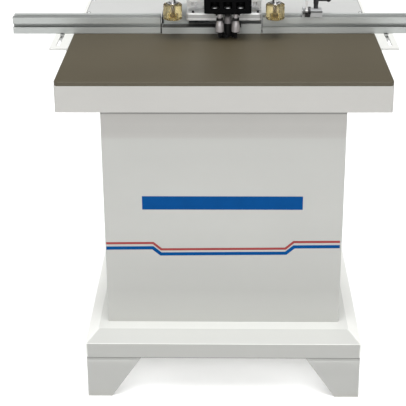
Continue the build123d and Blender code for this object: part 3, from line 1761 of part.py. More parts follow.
# Filter bowl: a clear cup under the regulator, with a collar
bowl_low = air_body_bottom - bowl_height
with BuildPart() as filter_bowl:
    turned(
        (services_x, air_y),
        [
            (0, bowl_low),
            (bowl_radius / 2, bowl_low),
            (bowl_radius, bowl_low + bowl_radius / 2),
            (bowl_radius, air_body_bottom - bowl_collar),
            (bowl_collar_radius, air_body_bottom - bowl_collar),
            (bowl_collar_radius, air_body_bottom),
            (bowl_radius - bowl_wall, air_body_bottom),
            (bowl_radius - bowl_wall, bowl_low + bowl_radius / 2),
            (bowl_radius / 2, bowl_low + bowl_wall),
            (0, bowl_low + bowl_wall),
        ],
    )
save(filter_bowl.part, "filter_bowl")

# Regulator knob: a grooved cap that turns on a stem in the block
with BuildPart() as regulator_knob:
    knob_low = air_top + air_knob_gap
    rod((services_x, air_y, knob_low), up, air_knob_height, air_knob_radius)
    chamfer(regulator_knob.faces().sort_by(Axis.Z)[-1].edges(), air_knob_edge)
    with BuildSketch(Plane.XY.offset(knob_low)):
        with Locations((services_x, air_y)):
            with PolarLocations(air_knob_radius, air_knob_grooves):
                Circle(air_knob_groove)
    extrude(amount=air_knob_height, mode=Mode.SUBTRACT)
    stem_length = air_stem_depth + air_knob_gap
    rod((services_x, air_y, air_top - air_stem_depth), up, stem_length, air_stem_radius)
save(regulator_knob.part, "regulator_knob")

# Cable gland: a hexagon and a dome outside the wall, a threaded stem and nut inside
with BuildPart() as cable_gland:
    inner_end = cabinet_back - cabinet_wall - gland_inside
    rod((services_x, inner_end, gland_height), back, cabinet_back - inner_end, gland_thread)
    with BuildSketch(Plane(origin=(services_x, cabinet_back, gland_height), z_dir=back)):
        RegularPolygon(gland_hex, 6)
    extrude(amount=gland_hex_height)
    rod((services_x, cabinet_back, gland_height), back, gland_hex_height + gland_dome, gland_thread)
    with BuildSketch(
        Plane(origin=(services_x, cabinet_back - cabinet_wall - gland_hex_height, gland_height), z_dir=back)
    ):
        RegularPolygon(gland_hex, 6)
    extrude(amount=gland_hex_height)
    chamfer(cable_gland.faces().sort_by(Axis.Y)[-1].edges(), gland_edge)
    gland_length = cabinet_back + gland_hex_height + gland_dome - inner_end
    rod((services_x, inner_end, gland_height), back, gland_length, gland_bore, mode=Mode.SUBTRACT)
save(cable_gland.part, "cable_gland")

# Solenoid valves: two blocks with coils and port stubs on the upright's back
valve_low = head_plate_top + valve_bottom
with BuildPart() as solenoid_valves:
    for side in (-1, 1):
        valve_x = side * valve_spread / 2
        block(
            (valve_x - valve_width / 2, valve_x + valve_width / 2),
            (upright_back, upright_back + valve_depth),
            (valve_low, valve_low + valve_height),
        )
        coil_half = valve_width / 2 - valve_coil_inset
        block(
            (valve_x - coil_half, valve_x + coil_half),
            (upright_back + valve_coil_inset, upright_back + valve_depth - valve_coil_inset),
            (valve_low - valve_coil, valve_low),
        )
        for share in (1, 3):
            port = (valve_x, upright_back + valve_depth, valve_low + valve_height * share / 4)
            rod(port, back, valve_port_reach, valve_port_radius)
save(solenoid_valves.part, "solenoid_valves")
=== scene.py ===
import bmesh
import bpy
import math
from mathutils import Matrix, Vector


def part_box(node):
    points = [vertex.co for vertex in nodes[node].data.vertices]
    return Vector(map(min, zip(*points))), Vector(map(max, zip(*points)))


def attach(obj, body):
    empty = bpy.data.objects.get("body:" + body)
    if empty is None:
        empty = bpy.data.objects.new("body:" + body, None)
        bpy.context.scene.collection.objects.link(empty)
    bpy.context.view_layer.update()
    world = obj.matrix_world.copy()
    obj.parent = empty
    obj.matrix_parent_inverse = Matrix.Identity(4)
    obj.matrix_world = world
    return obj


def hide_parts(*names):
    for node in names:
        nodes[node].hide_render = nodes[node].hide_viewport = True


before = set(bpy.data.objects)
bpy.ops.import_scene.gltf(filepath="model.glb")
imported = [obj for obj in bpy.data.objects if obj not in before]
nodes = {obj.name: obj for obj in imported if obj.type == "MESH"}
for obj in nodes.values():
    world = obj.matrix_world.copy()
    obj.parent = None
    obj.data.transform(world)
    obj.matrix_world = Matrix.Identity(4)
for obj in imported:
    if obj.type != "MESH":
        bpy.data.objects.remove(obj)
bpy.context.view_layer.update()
scene = bpy.context.scene

# Base tray and feet: a folded sheet tray with a hipped top, on four tapered feet of welded plate.
# Off-white powder coat, baked on with a fine orange peel. Its faces carry painted light and shade by how they
# face, a painted shadow lines the lip's lower edge, and the feet are painted darker, more so near the floor.


def effect(name, more_inputs=()):
    """A shader node group that varies a colour and puts out roughness and normal, with its two end nodes."""
    group = bpy.data.node_groups.new(name, "ShaderNodeTree")
    inputs = [("Colour", "NodeSocketColor", (0.8, 0.8, 0.8, 1.0)), *more_inputs]
    for label, kind, value in inputs:
        socket = group.interface.new_socket(label, in_out="INPUT", socket_type=kind)
        socket.default_value = value
    outputs = {"Colour": "NodeSocketColor", "Roughness": "NodeSocketFloat", "Normal": "NodeSocketVector"}
    for label, kind in outputs.items():
        group.interface.new_socket(label, in_out="OUTPUT", socket_type=kind)
    return group, group.nodes.new("NodeGroupInput"), group.nodes.new("NodeGroupOutput")


def put_out(group, end, colour, roughness, normal):
    """Joins three sockets to the outputs of a node group."""
    for label, socket in (("Colour", colour), ("Roughness", roughness), ("Normal", normal)):
        group.links.new(socket, end.inputs[label])


def noise(tree, vector, scale, detail):
    """A noise value on a vector socket."""
    node = tree.nodes.new("ShaderNodeTexNoise")
    node.inputs["Scale"].default_value = scale
    node.inputs["Detail"].default_value = detail
    tree.links.new(vector, node.inputs["Vector"])
    return node.outputs["Fac"]


def spread(tree, value, low, high, start=0.3, end=0.7):
    """Maps a value between start and end to the range from low to high."""
    node = tree.nodes.new("ShaderNodeMapRange")
    node.inputs["From Min"].default_value = start
    node.inputs["From Max"].default_value = end
    node.inputs["To Min"].default_value = low
    node.inputs["To Max"].default_value = high
    tree.links.new(value, node.inputs["Value"])
    return node.outputs["Result"]


def mask(tree, value, start, end):
    """A mask that is zero where a value is at start and one where it is at end."""
    return spread(tree, value, 0.0, 1.0, start, end)


def times(tree, first, second):
    """The product of two value sockets."""
    node = tree.nodes.new("ShaderNodeMath")
    node.operation = "MULTIPLY"
    tree.links.new(first, node.inputs[0])
    tree.links.new(second, node.inputs[1])
    return node.outputs["Value"]


def shade(tree, colour, value):
    """A colour socket multiplied by a grey value."""
    node = tree.nodes.new("ShaderNodeVectorMath")
    node.operation = "SCALE"
    tree.links.new(colour, node.inputs[0])
    tree.links.new(value, node.inputs["Scale"])
    return node.outputs["Vector"]


def bump(tree, height, strength):
    """A normal socket from a height value, for relief of a fifth of a millimetre."""
    node = tree.nodes.new("ShaderNodeBump")
    node.inputs["Strength"].default_value = strength
    node.inputs["Distance"].default_value = 0.0002
    tree.links.new(height, node.inputs["Height"])
    return node.outputs["Normal"]


def part_place(tree):
    """The place on the part, in metres from its own origin."""
    return tree.nodes.new("ShaderNodeTexCoord").outputs["Object"]


def along(tree, vector, axis):
    """One coordinate of a vector socket."""
    node = tree.nodes.new("ShaderNodeSeparateXYZ")
    tree.links.new(vector, node.inputs["Vector"])
    return node.outputs[axis]


def facing(tree, axis):
    """How far a surface faces along an axis, from minus one to one."""
    return along(tree, tree.nodes.new("ShaderNodeNewGeometry").outputs["Normal"], axis)


def finish(name, group, colour, group_values=None, shader_values=None):
    """A material whose varying colour, roughness and normal come from a node group."""
    made = bpy.data.materials.new(name)
    made.use_nodes = True
    tree = made.node_tree
    shader = tree.nodes["Principled BSDF"]
    source = tree.nodes.new("ShaderNodeGroup")
    source.node_tree = group
    source.inputs["Colour"].default_value = (*colour, 1.0)
    for label, value in (group_values or {}).items():
        source.inputs[label].default_value = value
    for label, value in (shader_values or {}).items():
        shader.inputs[label].default_value = value
    for label, target in (("Colour", "Base Color"), ("Roughness", "Roughness"), ("Normal", "Normal")):
        tree.links.new(source.outputs[label], shader.inputs[target])
    return made


def by_place(material, axis, start, end):
    """A mask over a finish that goes from zero to one between two places along an axis, in metres."""
    tree = material.node_tree
    return mask(tree, along(tree, part_place(tree), axis), start, end)


def by_facing(material, axis, start, end):
    """A mask over a finish that goes from zero to one as its surface turns along an axis."""
    tree = material.node_tree
    return mask(tree, facing(tree, axis), start, end)


def both(material, first, second):
    """A mask over a finish where two masks meet."""
    return times(material.node_tree, first, second)


def zone(material, colour, where):
    """Turns a finish to another colour where a mask is one."""
    tree = material.node_tree
    base = tree.nodes["Principled BSDF"].inputs["Base Color"]
    node = tree.nodes.new("ShaderNodeMix")
    node.data_type = "RGBA"
    tree.links.new(where, node.inputs["Factor"])
    tree.links.new(base.links[0].from_socket, node.inputs[6])
    node.inputs[7].default_value = (*colour, 1.0)
    tree.links.new(node.outputs[2], base)


def dress(material, *names):
    """Gives CAD nodes a material in place of their own."""
    for name in names:
        nodes[name].data.materials.clear()
        nodes[name].data.materials.append(material)


powder, powder_in, powder_out = effect("powder coat")
powder_place = part_place(powder)
powder_cloud = spread(powder, noise(powder, powder_place, scale=4.0, detail=4.0), 0.972, 1.018)
powder_peel = noise(powder, powder_place, scale=900.0, detail=2.0)
powder_tone = shade(powder, powder_in.outputs["Colour"], powder_cloud)
powder_dull = spread(powder, powder_peel, 0.38, 0.48)
put_out(powder, powder_out, powder_tone, powder_dull, bump(powder, powder_peel, strength=0.10))

# Painted light and shade by facing: the level top, the front slope and the front lip are painted darker, and
# the side slopes keep the lighter colour, by how light falls on each.
tray_coat = finish("tray powder coat with painted shade", powder, (0.80, 0.803, 0.775))
level_top = by_facing(tray_coat, "Z", 0.985, 0.995)
slope_up = by_facing(tray_coat, "Z", 0.90, 0.95)
slope_front = by_facing(tray_coat, "Y", -0.10, -0.18)
front_lip = by_facing(tray_coat, "Y", -0.85, -0.95)
lip_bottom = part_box("base_frame")[0].z
# Painted shadow: a thin dark line along the front lip's lower edge, over the feet.
painted_lip_shadow = by_place(tray_coat, "Z", lip_bottom + 0.0016, lip_bottom + 0.0012)
zone(tray_coat, (0.645, 0.65, 0.625), level_top)
zone(tray_coat, (0.525, 0.53, 0.508), both(tray_coat, slope_up, slope_front))
zone(tray_coat, (0.424, 0.427, 0.407), front_lip)
zone(tray_coat, (0.16, 0.16, 0.15), painted_lip_shadow)
dress(tray_coat, "base_frame")

# Painted shade: the feet are a darker copy of the coat, as less light reaches low down; near the floor they
# turn darker still, in patches.
feet_coat = finish("feet powder coat with painted shade", powder, (0.415, 0.418, 0.40))
feet_tree = feet_coat.node_tree
feet_place = part_place(feet_tree)
darkening_top = 0.022
darker_toward_floor = spread(feet_tree, along(feet_tree, feet_place, "Z"), 0.55, 0.0, start=0.0, end=darkening_top)
darkening_patches = spread(feet_tree, noise(feet_tree, feet_place, scale=60.0, detail=4.0), 0.2, 1.0)
zone(feet_coat, (0.39, 0.37, 0.33), both(feet_coat, darker_toward_floor, darkening_patches))
dress(feet_coat, "base_feet")

# Cabinet: one wrapped sheet welded to the tray, with openings in its back, in the same coat.
# A door on two pin hinges with a turning latch closes the upper opening, a dust drawer with a black
# bow handle the lower one. Bands of painted light and shade run across the coat by height.
coat_colour = (0.497, 0.50, 0.476)
cabinet_coat = finish("cabinet powder coat with painted shade", powder, coat_colour)
cabinet_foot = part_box("cabinet_shell")[0].z
apron_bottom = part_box("table_frame")[0].z
# Painted light and shade in bands by height: shade low down and light at the foot; under the table a painted
# shadow band with a sharp lower edge, a little painted light below it and between it and the table, and a
# dark painted shadow line in the corner under the table.
painted_low_shade = (cabinet_foot + 0.27, cabinet_foot + 0.15, (0.465, 0.468, 0.445))
painted_foot_light = (cabinet_foot + 0.09, cabinet_foot, (0.585, 0.588, 0.56))
painted_light_under_shadow = (apron_bottom - 0.13, apron_bottom - 0.08, (0.511, 0.514, 0.489))
painted_shadow_band = (apron_bottom - 0.0765, apron_bottom - 0.0705, (0.485, 0.477, 0.454))
painted_top_light = (apron_bottom - 0.058, apron_bottom - 0.038, (0.555, 0.546, 0.519))
painted_corner_shadow = (apron_bottom - 0.0138, apron_bottom - 0.0112, (0.27, 0.268, 0.255))
for start, end, colour in (painted_low_shade, painted_foot_light, painted_light_under_shadow, painted_shadow_band, painted_top_light, painted_corner_shadow):
    zone(cabinet_coat, colour, by_place(cabinet_coat, "Z", start, end))
dress(cabinet_coat, "cabinet_shell", "rear_door")
drawer_coat = finish("drawer powder coat", powder, coat_colour)
drawer_face = 0.3038
paint_edge = 0.0001
handle = by_place(drawer_coat, "Y", drawer_face - paint_edge, drawer_face + paint_edge)
black_paint = (0.012, 0.012, 0.013)
zone(drawer_coat, black_paint, handle)
dress(drawer_coat, "dust_drawer")

# Stripes on the cabinet's front: a red and a blue line that dip together, and a plain blue bar.
# They are cut from thin vinyl film and laid on by hand, a little out of level.


def piece(name, corners, faces, material, body, slot):
    """A mesh from corners in millimetres that rides on a body."""
    mesh = bpy.data.meshes.new(name)
    mesh.from_pydata([Vector(corner) / 1000 for corner in corners], [], faces)
    shape = bmesh.new()
    shape.from_mesh(mesh)
    bmesh.ops.recalc_face_normals(shape, faces=shape.faces)
    shape.to_mesh(mesh)
    shape.free()
    mesh.materials.append(material)
    mesh.shade_smooth()
    crease = math.radians(40)
    mesh.set_sharp_from_angle(angle=crease)
    made = bpy.data.objects.new(name, mesh)
    scene.collection.objects.link(made)
    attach(made, body)
    return made


def film(name, outline, material, body, front):
    """Flat film on an upright face towards the operator, from an outline of X and Z."""
    corners = [(x, front, z) for x, z in outline]
    return piece(name, corners, [range(len(outline))], material, body, "white_paint")


def dipped_line(level, width, dip, dip_outer, dip_inner):
    """Outline of a strip that runs level, drops through a dip and runs level again, tilted as a whole."""
    shift = width * (math.hypot(dip, dip_outer - dip_inner) - (dip_outer - dip_inner)) / dip
    upper = [(stripe_left, 0), (-dip_outer, 0), (-dip_inner, -dip)]
    upper += [(dip_inner, -dip), (dip_outer, 0), (stripe_right, 0)]
    outward = (0, -shift, -shift, shift, shift, 0)
    lower = [(x + move, z - width) for (x, z), move in zip(upper, outward)]
    return [(x, level + z + stripe_tilt * x) for x, z in upper + lower[::-1]]


def plus(tree, first, second):
    """The sum of two value sockets."""
    node = tree.nodes.new("ShaderNodeMath")
    tree.links.new(first, node.inputs[0])
    tree.links.new(second, node.inputs[1])
    return node.outputs["Value"]


moulding, moulding_in, moulding_out = effect("smooth moulding", [("Dullness", "NodeSocketFloat", 0.36)])
moulding_place = part_place(moulding)
moulding_cloud = spread(moulding, noise(moulding, moulding_place, scale=30.0, detail=4.0), 0.93, 1.05)
moulding_ripple = noise(moulding, moulding_place, scale=260.0, detail=2.0)
moulding_tone = shade(moulding, moulding_in.outputs["Colour"], moulding_cloud)
ripple_dull = spread(moulding, moulding_ripple, -0.05, 0.05)
moulding_dull = plus(moulding, ripple_dull, moulding_in.outputs["Dullness"])
put_out(moulding, moulding_out, moulding_tone, moulding_dull, bump(moulding, moulding_ripple, strength=0.05))

film_gloss = {"Specular IOR Level": 0.04}
blue_film = finish("blue film", moulding, (0.0015, 0.067, 0.247), shader_values=film_gloss)
red_film = finish("red film", moulding, (0.335, 0.066, 0.066), shader_values=film_gloss)
film_thick = 0.15
film_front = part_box("cabinet_shell")[0].y * 1000 - film_thick
stripe_left = -293.3
stripe_right = 290.7
stripe_tilt = 0.0096
red_outline = dipped_line(level=392.3, width=6.2, dip=17.8, dip_outer=174.3, dip_inner=153.9)
film("red_line", red_outline, red_film, "frame", film_front)
blue_outline = dipped_line(level=380.4, width=8.9, dip=17.2, dip_outer=174.8, dip_inner=154.7)
film("blue_line", blue_outline, blue_film, "frame", film_front)
bar_left, bar_right, bar_low, bar_high = -200.5, 195.6, 478.7, 514.4
bar_outline = [(bar_left, bar_low), (bar_right, bar_low), (bar_right, bar_high), (bar_left, bar_high)]
film("blue_bar", bar_outline, blue_film, "frame", film_front)

# Shelf, blower and suction duct inside the cabinet: they draw chips off the table into the drawer.
# Zinc-plated shelf and impeller, a black enamelled volute, an enamelled motor and a moulded duct.
metal_inputs = [("Lines", "NodeSocketVector", (1.0, 1.0, 1.0)), ("Dullness", "NodeSocketFloat", 0.35)]
metal, metal_in, metal_out = effect("worked metal", metal_inputs)
metal_stretch = metal.nodes.new("ShaderNodeVectorMath")
metal_stretch.operation = "MULTIPLY"
metal.links.new(part_place(metal), metal_stretch.inputs[0])
metal.links.new(metal_in.outputs["Lines"], metal_stretch.inputs[1])
metal_lines = noise(metal, metal_stretch.outputs["Vector"], scale=1.0, detail=3.0)
metal_tone = shade(metal, metal_in.outputs["Colour"], spread(metal, metal_lines, 0.90, 1.07))
metal_dull = plus(metal, spread(metal, metal_lines, -0.07, 0.07), metal_in.outputs["Dullness"])
put_out(metal, metal_out, metal_tone, metal_dull, bump(metal, metal_lines, strength=0.12))


def worked(name, colour, lines, metallic, dullness, gloss=0.5):
    """A metal finish with fine lines; a small number in lines draws them out along that axis."""
    group_values = {"Lines": lines, "Dullness": dullness}
    return finish(name, metal, colour, group_values, {"Metallic": metallic, "Specular IOR Level": gloss})


zinc_colour = (0.50, 0.51, 0.50)
zinc = worked("zinc plate", zinc_colour, lines=(25.0, 25.0, 25.0), metallic=0.9, dullness=0.40)
dress(zinc, "inner_shelf", "blower_impeller", "door_hinge_pins")
enamel_gloss = {"Specular IOR Level": 0.03}
black_enamel = finish("black enamel", powder, (0.0022, 0.0022, 0.0025), shader_values=enamel_gloss)
dress(black_enamel, "blower_housing")
motor_enamel = finish("blue-grey enamel", powder, (0.17, 0.20, 0.23))
dress(motor_enamel, "blower_motor")
grey_colour = (0.40, 0.41, 0.41)
grey_moulding = finish("grey moulding", moulding, grey_colour)
dress(grey_moulding, "suction_duct")
black_colour = (0.014, 0.014, 0.015)
black_moulding = finish("black moulding", moulding, black_colour)
dress(black_moulding, "door_latch")

# Table: a folded apron in the white coat, a brown-grey laminated board in front of the fence, and a painted
# steel plate with white ends behind it, held by domed screws. Panels pushed along the board have left faint
# scuffs, and painted shade darkens it along the fence.
white_coat = finish("white powder coat", powder, (0.507, 0.50, 0.476))
dress(white_coat, "table_frame")


def away(tree, value, level):
    """The distance of a value from a level."""
    offset = tree.nodes.new("ShaderNodeMath")
    offset.operation = "SUBTRACT"
    offset.inputs[1].default_value = level
    tree.links.new(value, offset.inputs[0])
    size = tree.nodes.new("ShaderNodeMath")
    size.operation = "ABSOLUTE"
    tree.links.new(offset.outputs["Value"], size.inputs[0])
    return size.outputs["Value"]


plate_paint = finish("pale plate paint", powder, (0.55, 0.555, 0.545))
plate_tree = plate_paint.node_tree
plate_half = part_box("rear_table_plate")[1].x
from_middle = away(plate_tree, along(plate_tree, part_place(plate_tree), "X"), 0.0)
line_start = plate_half - 0.0101
end_start = plate_half - 0.0083
end_line = mask(plate_tree, from_middle, line_start - paint_edge, line_start + paint_edge)
white_end = mask(plate_tree, from_middle, end_start - paint_edge, end_start + paint_edge)
zone(plate_paint, (0.30, 0.30, 0.295), end_line)
zone(plate_paint, (0.78, 0.783, 0.75), white_end)
dress(plate_paint, "rear_table_plate")

laminate, laminate_in, laminate_out = effect("laminate")
laminate_place = part_place(laminate)
laminate_cloud = spread(laminate, noise(laminate, laminate_place, scale=5.0, detail=4.0), 0.96, 1.04)
laminate_grain = noise(laminate, laminate_place, scale=1500.0, detail=2.0)
push_stretch = laminate.nodes.new("ShaderNodeVectorMath")
push_stretch.operation = "MULTIPLY"
push_stretch.inputs[1].default_value = (3.0, 220.0, 3.0)
laminate.links.new(laminate_place, push_stretch.inputs[0])
push_lines = noise(laminate, push_stretch.outputs["Vector"], scale=1.0, detail=3.0)
laminate_scuff = spread(laminate, push_lines, 1.0, 1.07, start=0.56, end=0.72)
laminate_grey = times(laminate, laminate_cloud, laminate_scuff)
laminate_tone = shade(laminate, laminate_in.outputs["Colour"], laminate_grey)
laminate_dull = spread(laminate, laminate_grain, 0.46, 0.58)
put_out(laminate, laminate_out, laminate_tone, laminate_dull, bump(laminate, laminate_grain, strength=0.06))
board_laminate = finish("brown-grey laminate", laminate, (0.078, 0.065, 0.039))
board_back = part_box("work_board")[1].y
# Painted shade: the board is darker towards the fence.
painted_shade_by_fence = by_place(board_laminate, "Y", board_back - 0.22, board_back - 0.04)
zone(board_laminate, (0.063, 0.051, 0.028), painted_shade_by_fence)
dress(board_laminate, "work_board")


def lathe(outline, places, axis, sides=24, closed=False):
    """Corners and faces of turned shapes; an outline point has a radius, a height and its flats."""
    turn = Vector((0, 0, 1)).rotation_difference(Vector(axis)).to_matrix()
    corners = []
    faces = []
    for place in places:
        first = len(corners)
        for radius, height, flats in outline:
            for step in range(sides):
                angle = math.tau * step / sides
                reach = radius
                if flats:
                    half = math.pi / flats
                    reach = radius / math.cos(angle % (2 * half) - half)
                local = Vector((reach * math.cos(angle), reach * math.sin(angle), height))
                corners.append(Vector(place) + turn @ local)
        rings = len(outline)
        for ring in range(rings if closed else rings - 1):
            for step in range(sides):
                low = first + ring * sides
                high = first + (ring + 1) % rings * sides
                after = (step + 1) % sides
                faces.append((low + step, low + after, high + after, high + step))
        if not closed:
            faces.append([first + (rings - 1) * sides + step for step in range(sides)])
    return corners, faces


def turned(name, outline, places, axis, material, body, slot, sides=24, closed=False):
    """Turned pieces at several places as one mesh."""
    return piece(name, *lathe(outline, places, axis, sides, closed), material, body, slot)


def domed_screws(name, places, axis, size, body):
    """Low domed screws with a hexagon socket, of a thread size."""
    head = 0.9 * size
    rise = 0.5 * size
    socket = 0.35 * size
    dome = [(head * math.cos(a), rise * math.sin(a), 0) for a in (0.0, 0.35, 0.7, 1.0)]
    outline = dome + [(socket, rise, 6), (socket, rise / 3, 6)]
    return turned(name, outline, places, axis, zinc, body, "zinc")


up = (0, 0, 1)
table_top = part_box("rear_table_plate")[1].z * 1000
plate_screw_x = 384.0
plate_screw_rows = (276.0, 426.0)
plate_screws = [(side * plate_screw_x, row, table_top) for side in (-1, 1) for row in plate_screw_rows]
domed_screws("table_plate_screws", plate_screws, up, size=6.0, body="frame")

# Fence: slotted brackets bolted to the table's sides, two anodised T-slot profiles with sawn ends and a
# low strip between them, with painted shade on their ends, the front of their tops and their top front
# edges. Black cap screws and zinc straps clamp the profiles to the brackets.
bracket_coat = finish("bracket powder coat", powder, (0.70, 0.703, 0.675))
dress(bracket_coat, "fence_brackets")
profile_lines = (4.0, 1600.0, 1600.0)
anodised = worked("anodised profile with painted shade", (0.51, 0.53, 0.515), profile_lines, metallic=0.35, dullness=0.52)
anodised_tree = anodised.node_tree
to_side = facing(anodised_tree, "X")
painted_dark_ends = mask(anodised_tree, times(anodised_tree, to_side, to_side), 0.8, 0.9)
profile_top = by_facing(anodised, "Z", 0.90, 0.95)
painted_shade_front = by_place(anodised, "Y", 0.0705, 0.0685)
edge_up = by_facing(anodised, "Z", 0.25, 0.35)
edge_front = by_facing(anodised, "Y", -0.25, -0.35)
# Painted shade: dark sawn ends, a dark band along the front of the top, and dark top front edges in place of
# their highlight.
zone(anodised, (0.10, 0.10, 0.10), painted_dark_ends)
zone(anodised, (0.25, 0.26, 0.253), both(anodised, profile_top, painted_shade_front))
zone(anodised, (0.13, 0.135, 0.13), both(anodised, edge_up, edge_front))
dress(anodised, "fence_profile_left", "fence_profile_right", "fence_strip")
strap_lines = (40.0, 40.0, 40.0)
clamp_finish = worked("zinc strap and black screws", zinc_colour, strap_lines, metallic=0.6, dullness=0.38)
strap_top = 0.8205
clamp_screws = by_place(clamp_finish, "Z", strap_top - paint_edge, strap_top + paint_edge)
zone(clamp_finish, black_paint, clamp_screws)
dress(clamp_finish, "fence_clamps")


def hex_bolts(name, places, axis, size, body):
    """Hexagon bolt heads on washers, of a thread size."""
    washer = 1.1 * size
    sheet = 0.18 * size
    flat = 0.81 * size
    top = 0.8 * size
    outline = [(washer, 0, 0), (washer, sheet, 0)]
    outline += [(flat, sheet, 6), (flat, 0.92 * top, 6), (0.93 * flat, top, 0)]
    return turned(name, outline, places, axis, zinc, body, "zinc")


right = (1, 0, 0)
left = (-1, 0, 0)
bracket_thick = 4.0
bracket_bolt_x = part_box("table_frame")[1].x * 1000 + bracket_thick
bracket_bolt_z = 786.0
bracket_bolt_rows = (-66.0, 24.0, 114.0)
for side, way in (("left", left), ("right", right)):
    bolts = [(way[0] * bracket_bolt_x, row, bracket_bolt_z) for row in bracket_bolt_rows]
    hex_bolts(f"bracket_bolts_{side}", bolts, way, size=8.0, body="frame")

# Black bands: a strip of black rubber on the low strip's top, put there as painted shade over the gap behind
# it, and a piece of the same rubber as painted shade in the joint to the left profile. Both are cut from
# sheet, with their edges left slightly rounded, and glued in.


def slab(name, low, high, edge, material, body, slot):
    """A flat upright block between two corners, chamfered round its top."""
    outer = [(low[0], low[1]), (high[0], low[1]), (high[0], high[1]), (low[0], high[1])]
    inner = [(low[0] + edge, low[1] + edge), (high[0] - edge, low[1] + edge)]
    inner += [(high[0] - edge, high[1] - edge), (low[0] + edge, high[1] - edge)]
    corners = [(x, y, low[2]) for x, y in outer]
    corners += [(x, y, high[2] - edge) for x, y in outer]
    corners += [(x, y, high[2]) for x, y in inner]
    faces = [(0, 1, 2, 3), (8, 9, 10, 11)]
    for ring in (0, 4):
        faces += [(ring + k, ring + (k + 1) % 4, ring + 4 + (k + 1) % 4, ring + 4 + k) for k in range(4)]
    return piece(name, corners, faces, material, body, slot)


black_rubber = finish("black rubber", moulding, (0.028, 0.028, 0.027))
strip_low, strip_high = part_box("fence_strip")
strip_front = strip_low.y * 1000
strip_height = 16.5
strip_top = table_top + strip_height
rubber_edge = 0.5
band_left, band_right = -163.0, 44.0
band_front = strip_front + 2.0
band_width = 30.0
band_thick = 1.2
band_low = (band_left, band_front, strip_top)
band_high = (band_right, band_front + band_width, strip_top + band_thick)
# Painted shade: a black strip stands for the shade in the gap behind the low strip.
slab("black_shade_band", band_low, band_high, rubber_edge, black_rubber, "fence", "black_plastic")
# Painted shade: a black piece stands for the shade in the joint to the left profile.
joint_left, joint_right = -168.9, -165.1
rubber_inset = 1.0
rubber_gap = 0.2
joint_low = (joint_left, strip_front + rubber_inset, table_top + rubber_gap)
joint_high = (joint_right, strip_high.y * 1000 - rubber_inset, strip_top)
slab("black_joint_shade", joint_low, joint_high, rubber_edge, black_rubber, "fence", "black_plastic")

# Dust mouth: a folded, anodised box behind the strip that gathers chips, held to the table by black cap
# screws. A skirt of black rubber is glued to its left side, just clear of the table.
dress(anodised, "suction_housing")
oxide_lines = (300.0, 300.0, 300.0)
black_oxide = worked("black oxide", (0.018, 0.018, 0.019), oxide_lines, metallic=0.0, dullness=0.38)


def cap_screws(name, places, axis, size, body):
    """Socket-head cap screws of a thread size, standing on a face."""
    head = 0.75 * size
    edge = 0.1 * size
    socket = 0.42 * size
    outline = [(head, 0, 0), (head, size - edge, 0), (head - edge, size, 0)]
    outline += [(socket, size, 6), (socket, size / 2, 6)]
    return turned(name, outline, places, axis, black_oxide, body, "black_steel")


mouth_low, mouth_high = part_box("suction_housing")
mouth_left = mouth_low.x * 1000
mouth_top = mouth_high.z * 1000
skirt_thick = 5.0
skirt_edge = 0.8
skirt_drop = 2.0
skirt_low = (mouth_left - skirt_thick, mouth_low.y * 1000 + rubber_inset, table_top + rubber_gap)
skirt_high = (mouth_left, mouth_high.y * 1000 - rubber_inset, mouth_top - skirt_drop)
slab("dust_skirt", skirt_low, skirt_high, skirt_edge, black_rubber, "frame", "black_plastic")
mouth_spots = ((-150, 116), (-150, 226), (84, 226))
mouth_screws = [(*spot, mouth_top) for spot in mouth_spots]
cap_screws("mouth_screws", mouth_screws, up, size=5.0, body="frame")

# Upright: a milled base plate with a band of painted shade round its edge, and a ribbed upright with two
# ground rails. The saddle rides on them with four carriages that have black end seals; cap screws hold all.
milled_lines = (30.0, 900.0, 900.0)
milled = worked("milled plate", (0.86, 0.865, 0.86), milled_lines, metallic=0.25, dullness=0.42)
dress(milled, "upright", "head_saddle")
plate_tone = (0.80, 0.805, 0.80)
banded = worked("milled plate with a painted shade band", plate_tone, milled_lines, metallic=0.25, dullness=0.40)
# Painted shade: a darker band across the middle of the plate's edge, between lighter bands above and below.
shade_band_start, shade_band_stop = 0.857, 0.866
shade_band_fade = 0.0005
over_start = by_place(banded, "Z", shade_band_start - shade_band_fade, shade_band_start + shade_band_fade)
under_stop = by_place(banded, "Z", shade_band_stop + shade_band_fade, shade_band_stop - shade_band_fade)
zone(banded, (0.50, 0.505, 0.50), both(banded, over_start, under_stop))
dress(banded, "head_base_plate")
ground_lines = (900.0, 900.0, 20.0)
ground = worked("ground steel", (0.56, 0.565, 0.57), ground_lines, metallic=1.0, dullness=0.30)
dress(ground, "linear_rails")
carriage_finish = worked("ground carriages", (0.50, 0.505, 0.51), ground_lines, metallic=0.9, dullness=0.34)
carriage_tree = carriage_finish.node_tree
carriages_middle = 0.9885
carriages_apart = 0.0635
seal_start = 0.0165
carriage_height = along(carriage_tree, part_place(carriage_tree), "Z")
from_carriage = away(carriage_tree, away(carriage_tree, carriage_height, carriages_middle), carriages_apart)
end_seals = mask(carriage_tree, from_carriage, seal_start - paint_edge, seal_start + paint_edge)
zone(carriage_finish, black_colour, end_seals)
dress(carriage_finish, "rail_carriages")

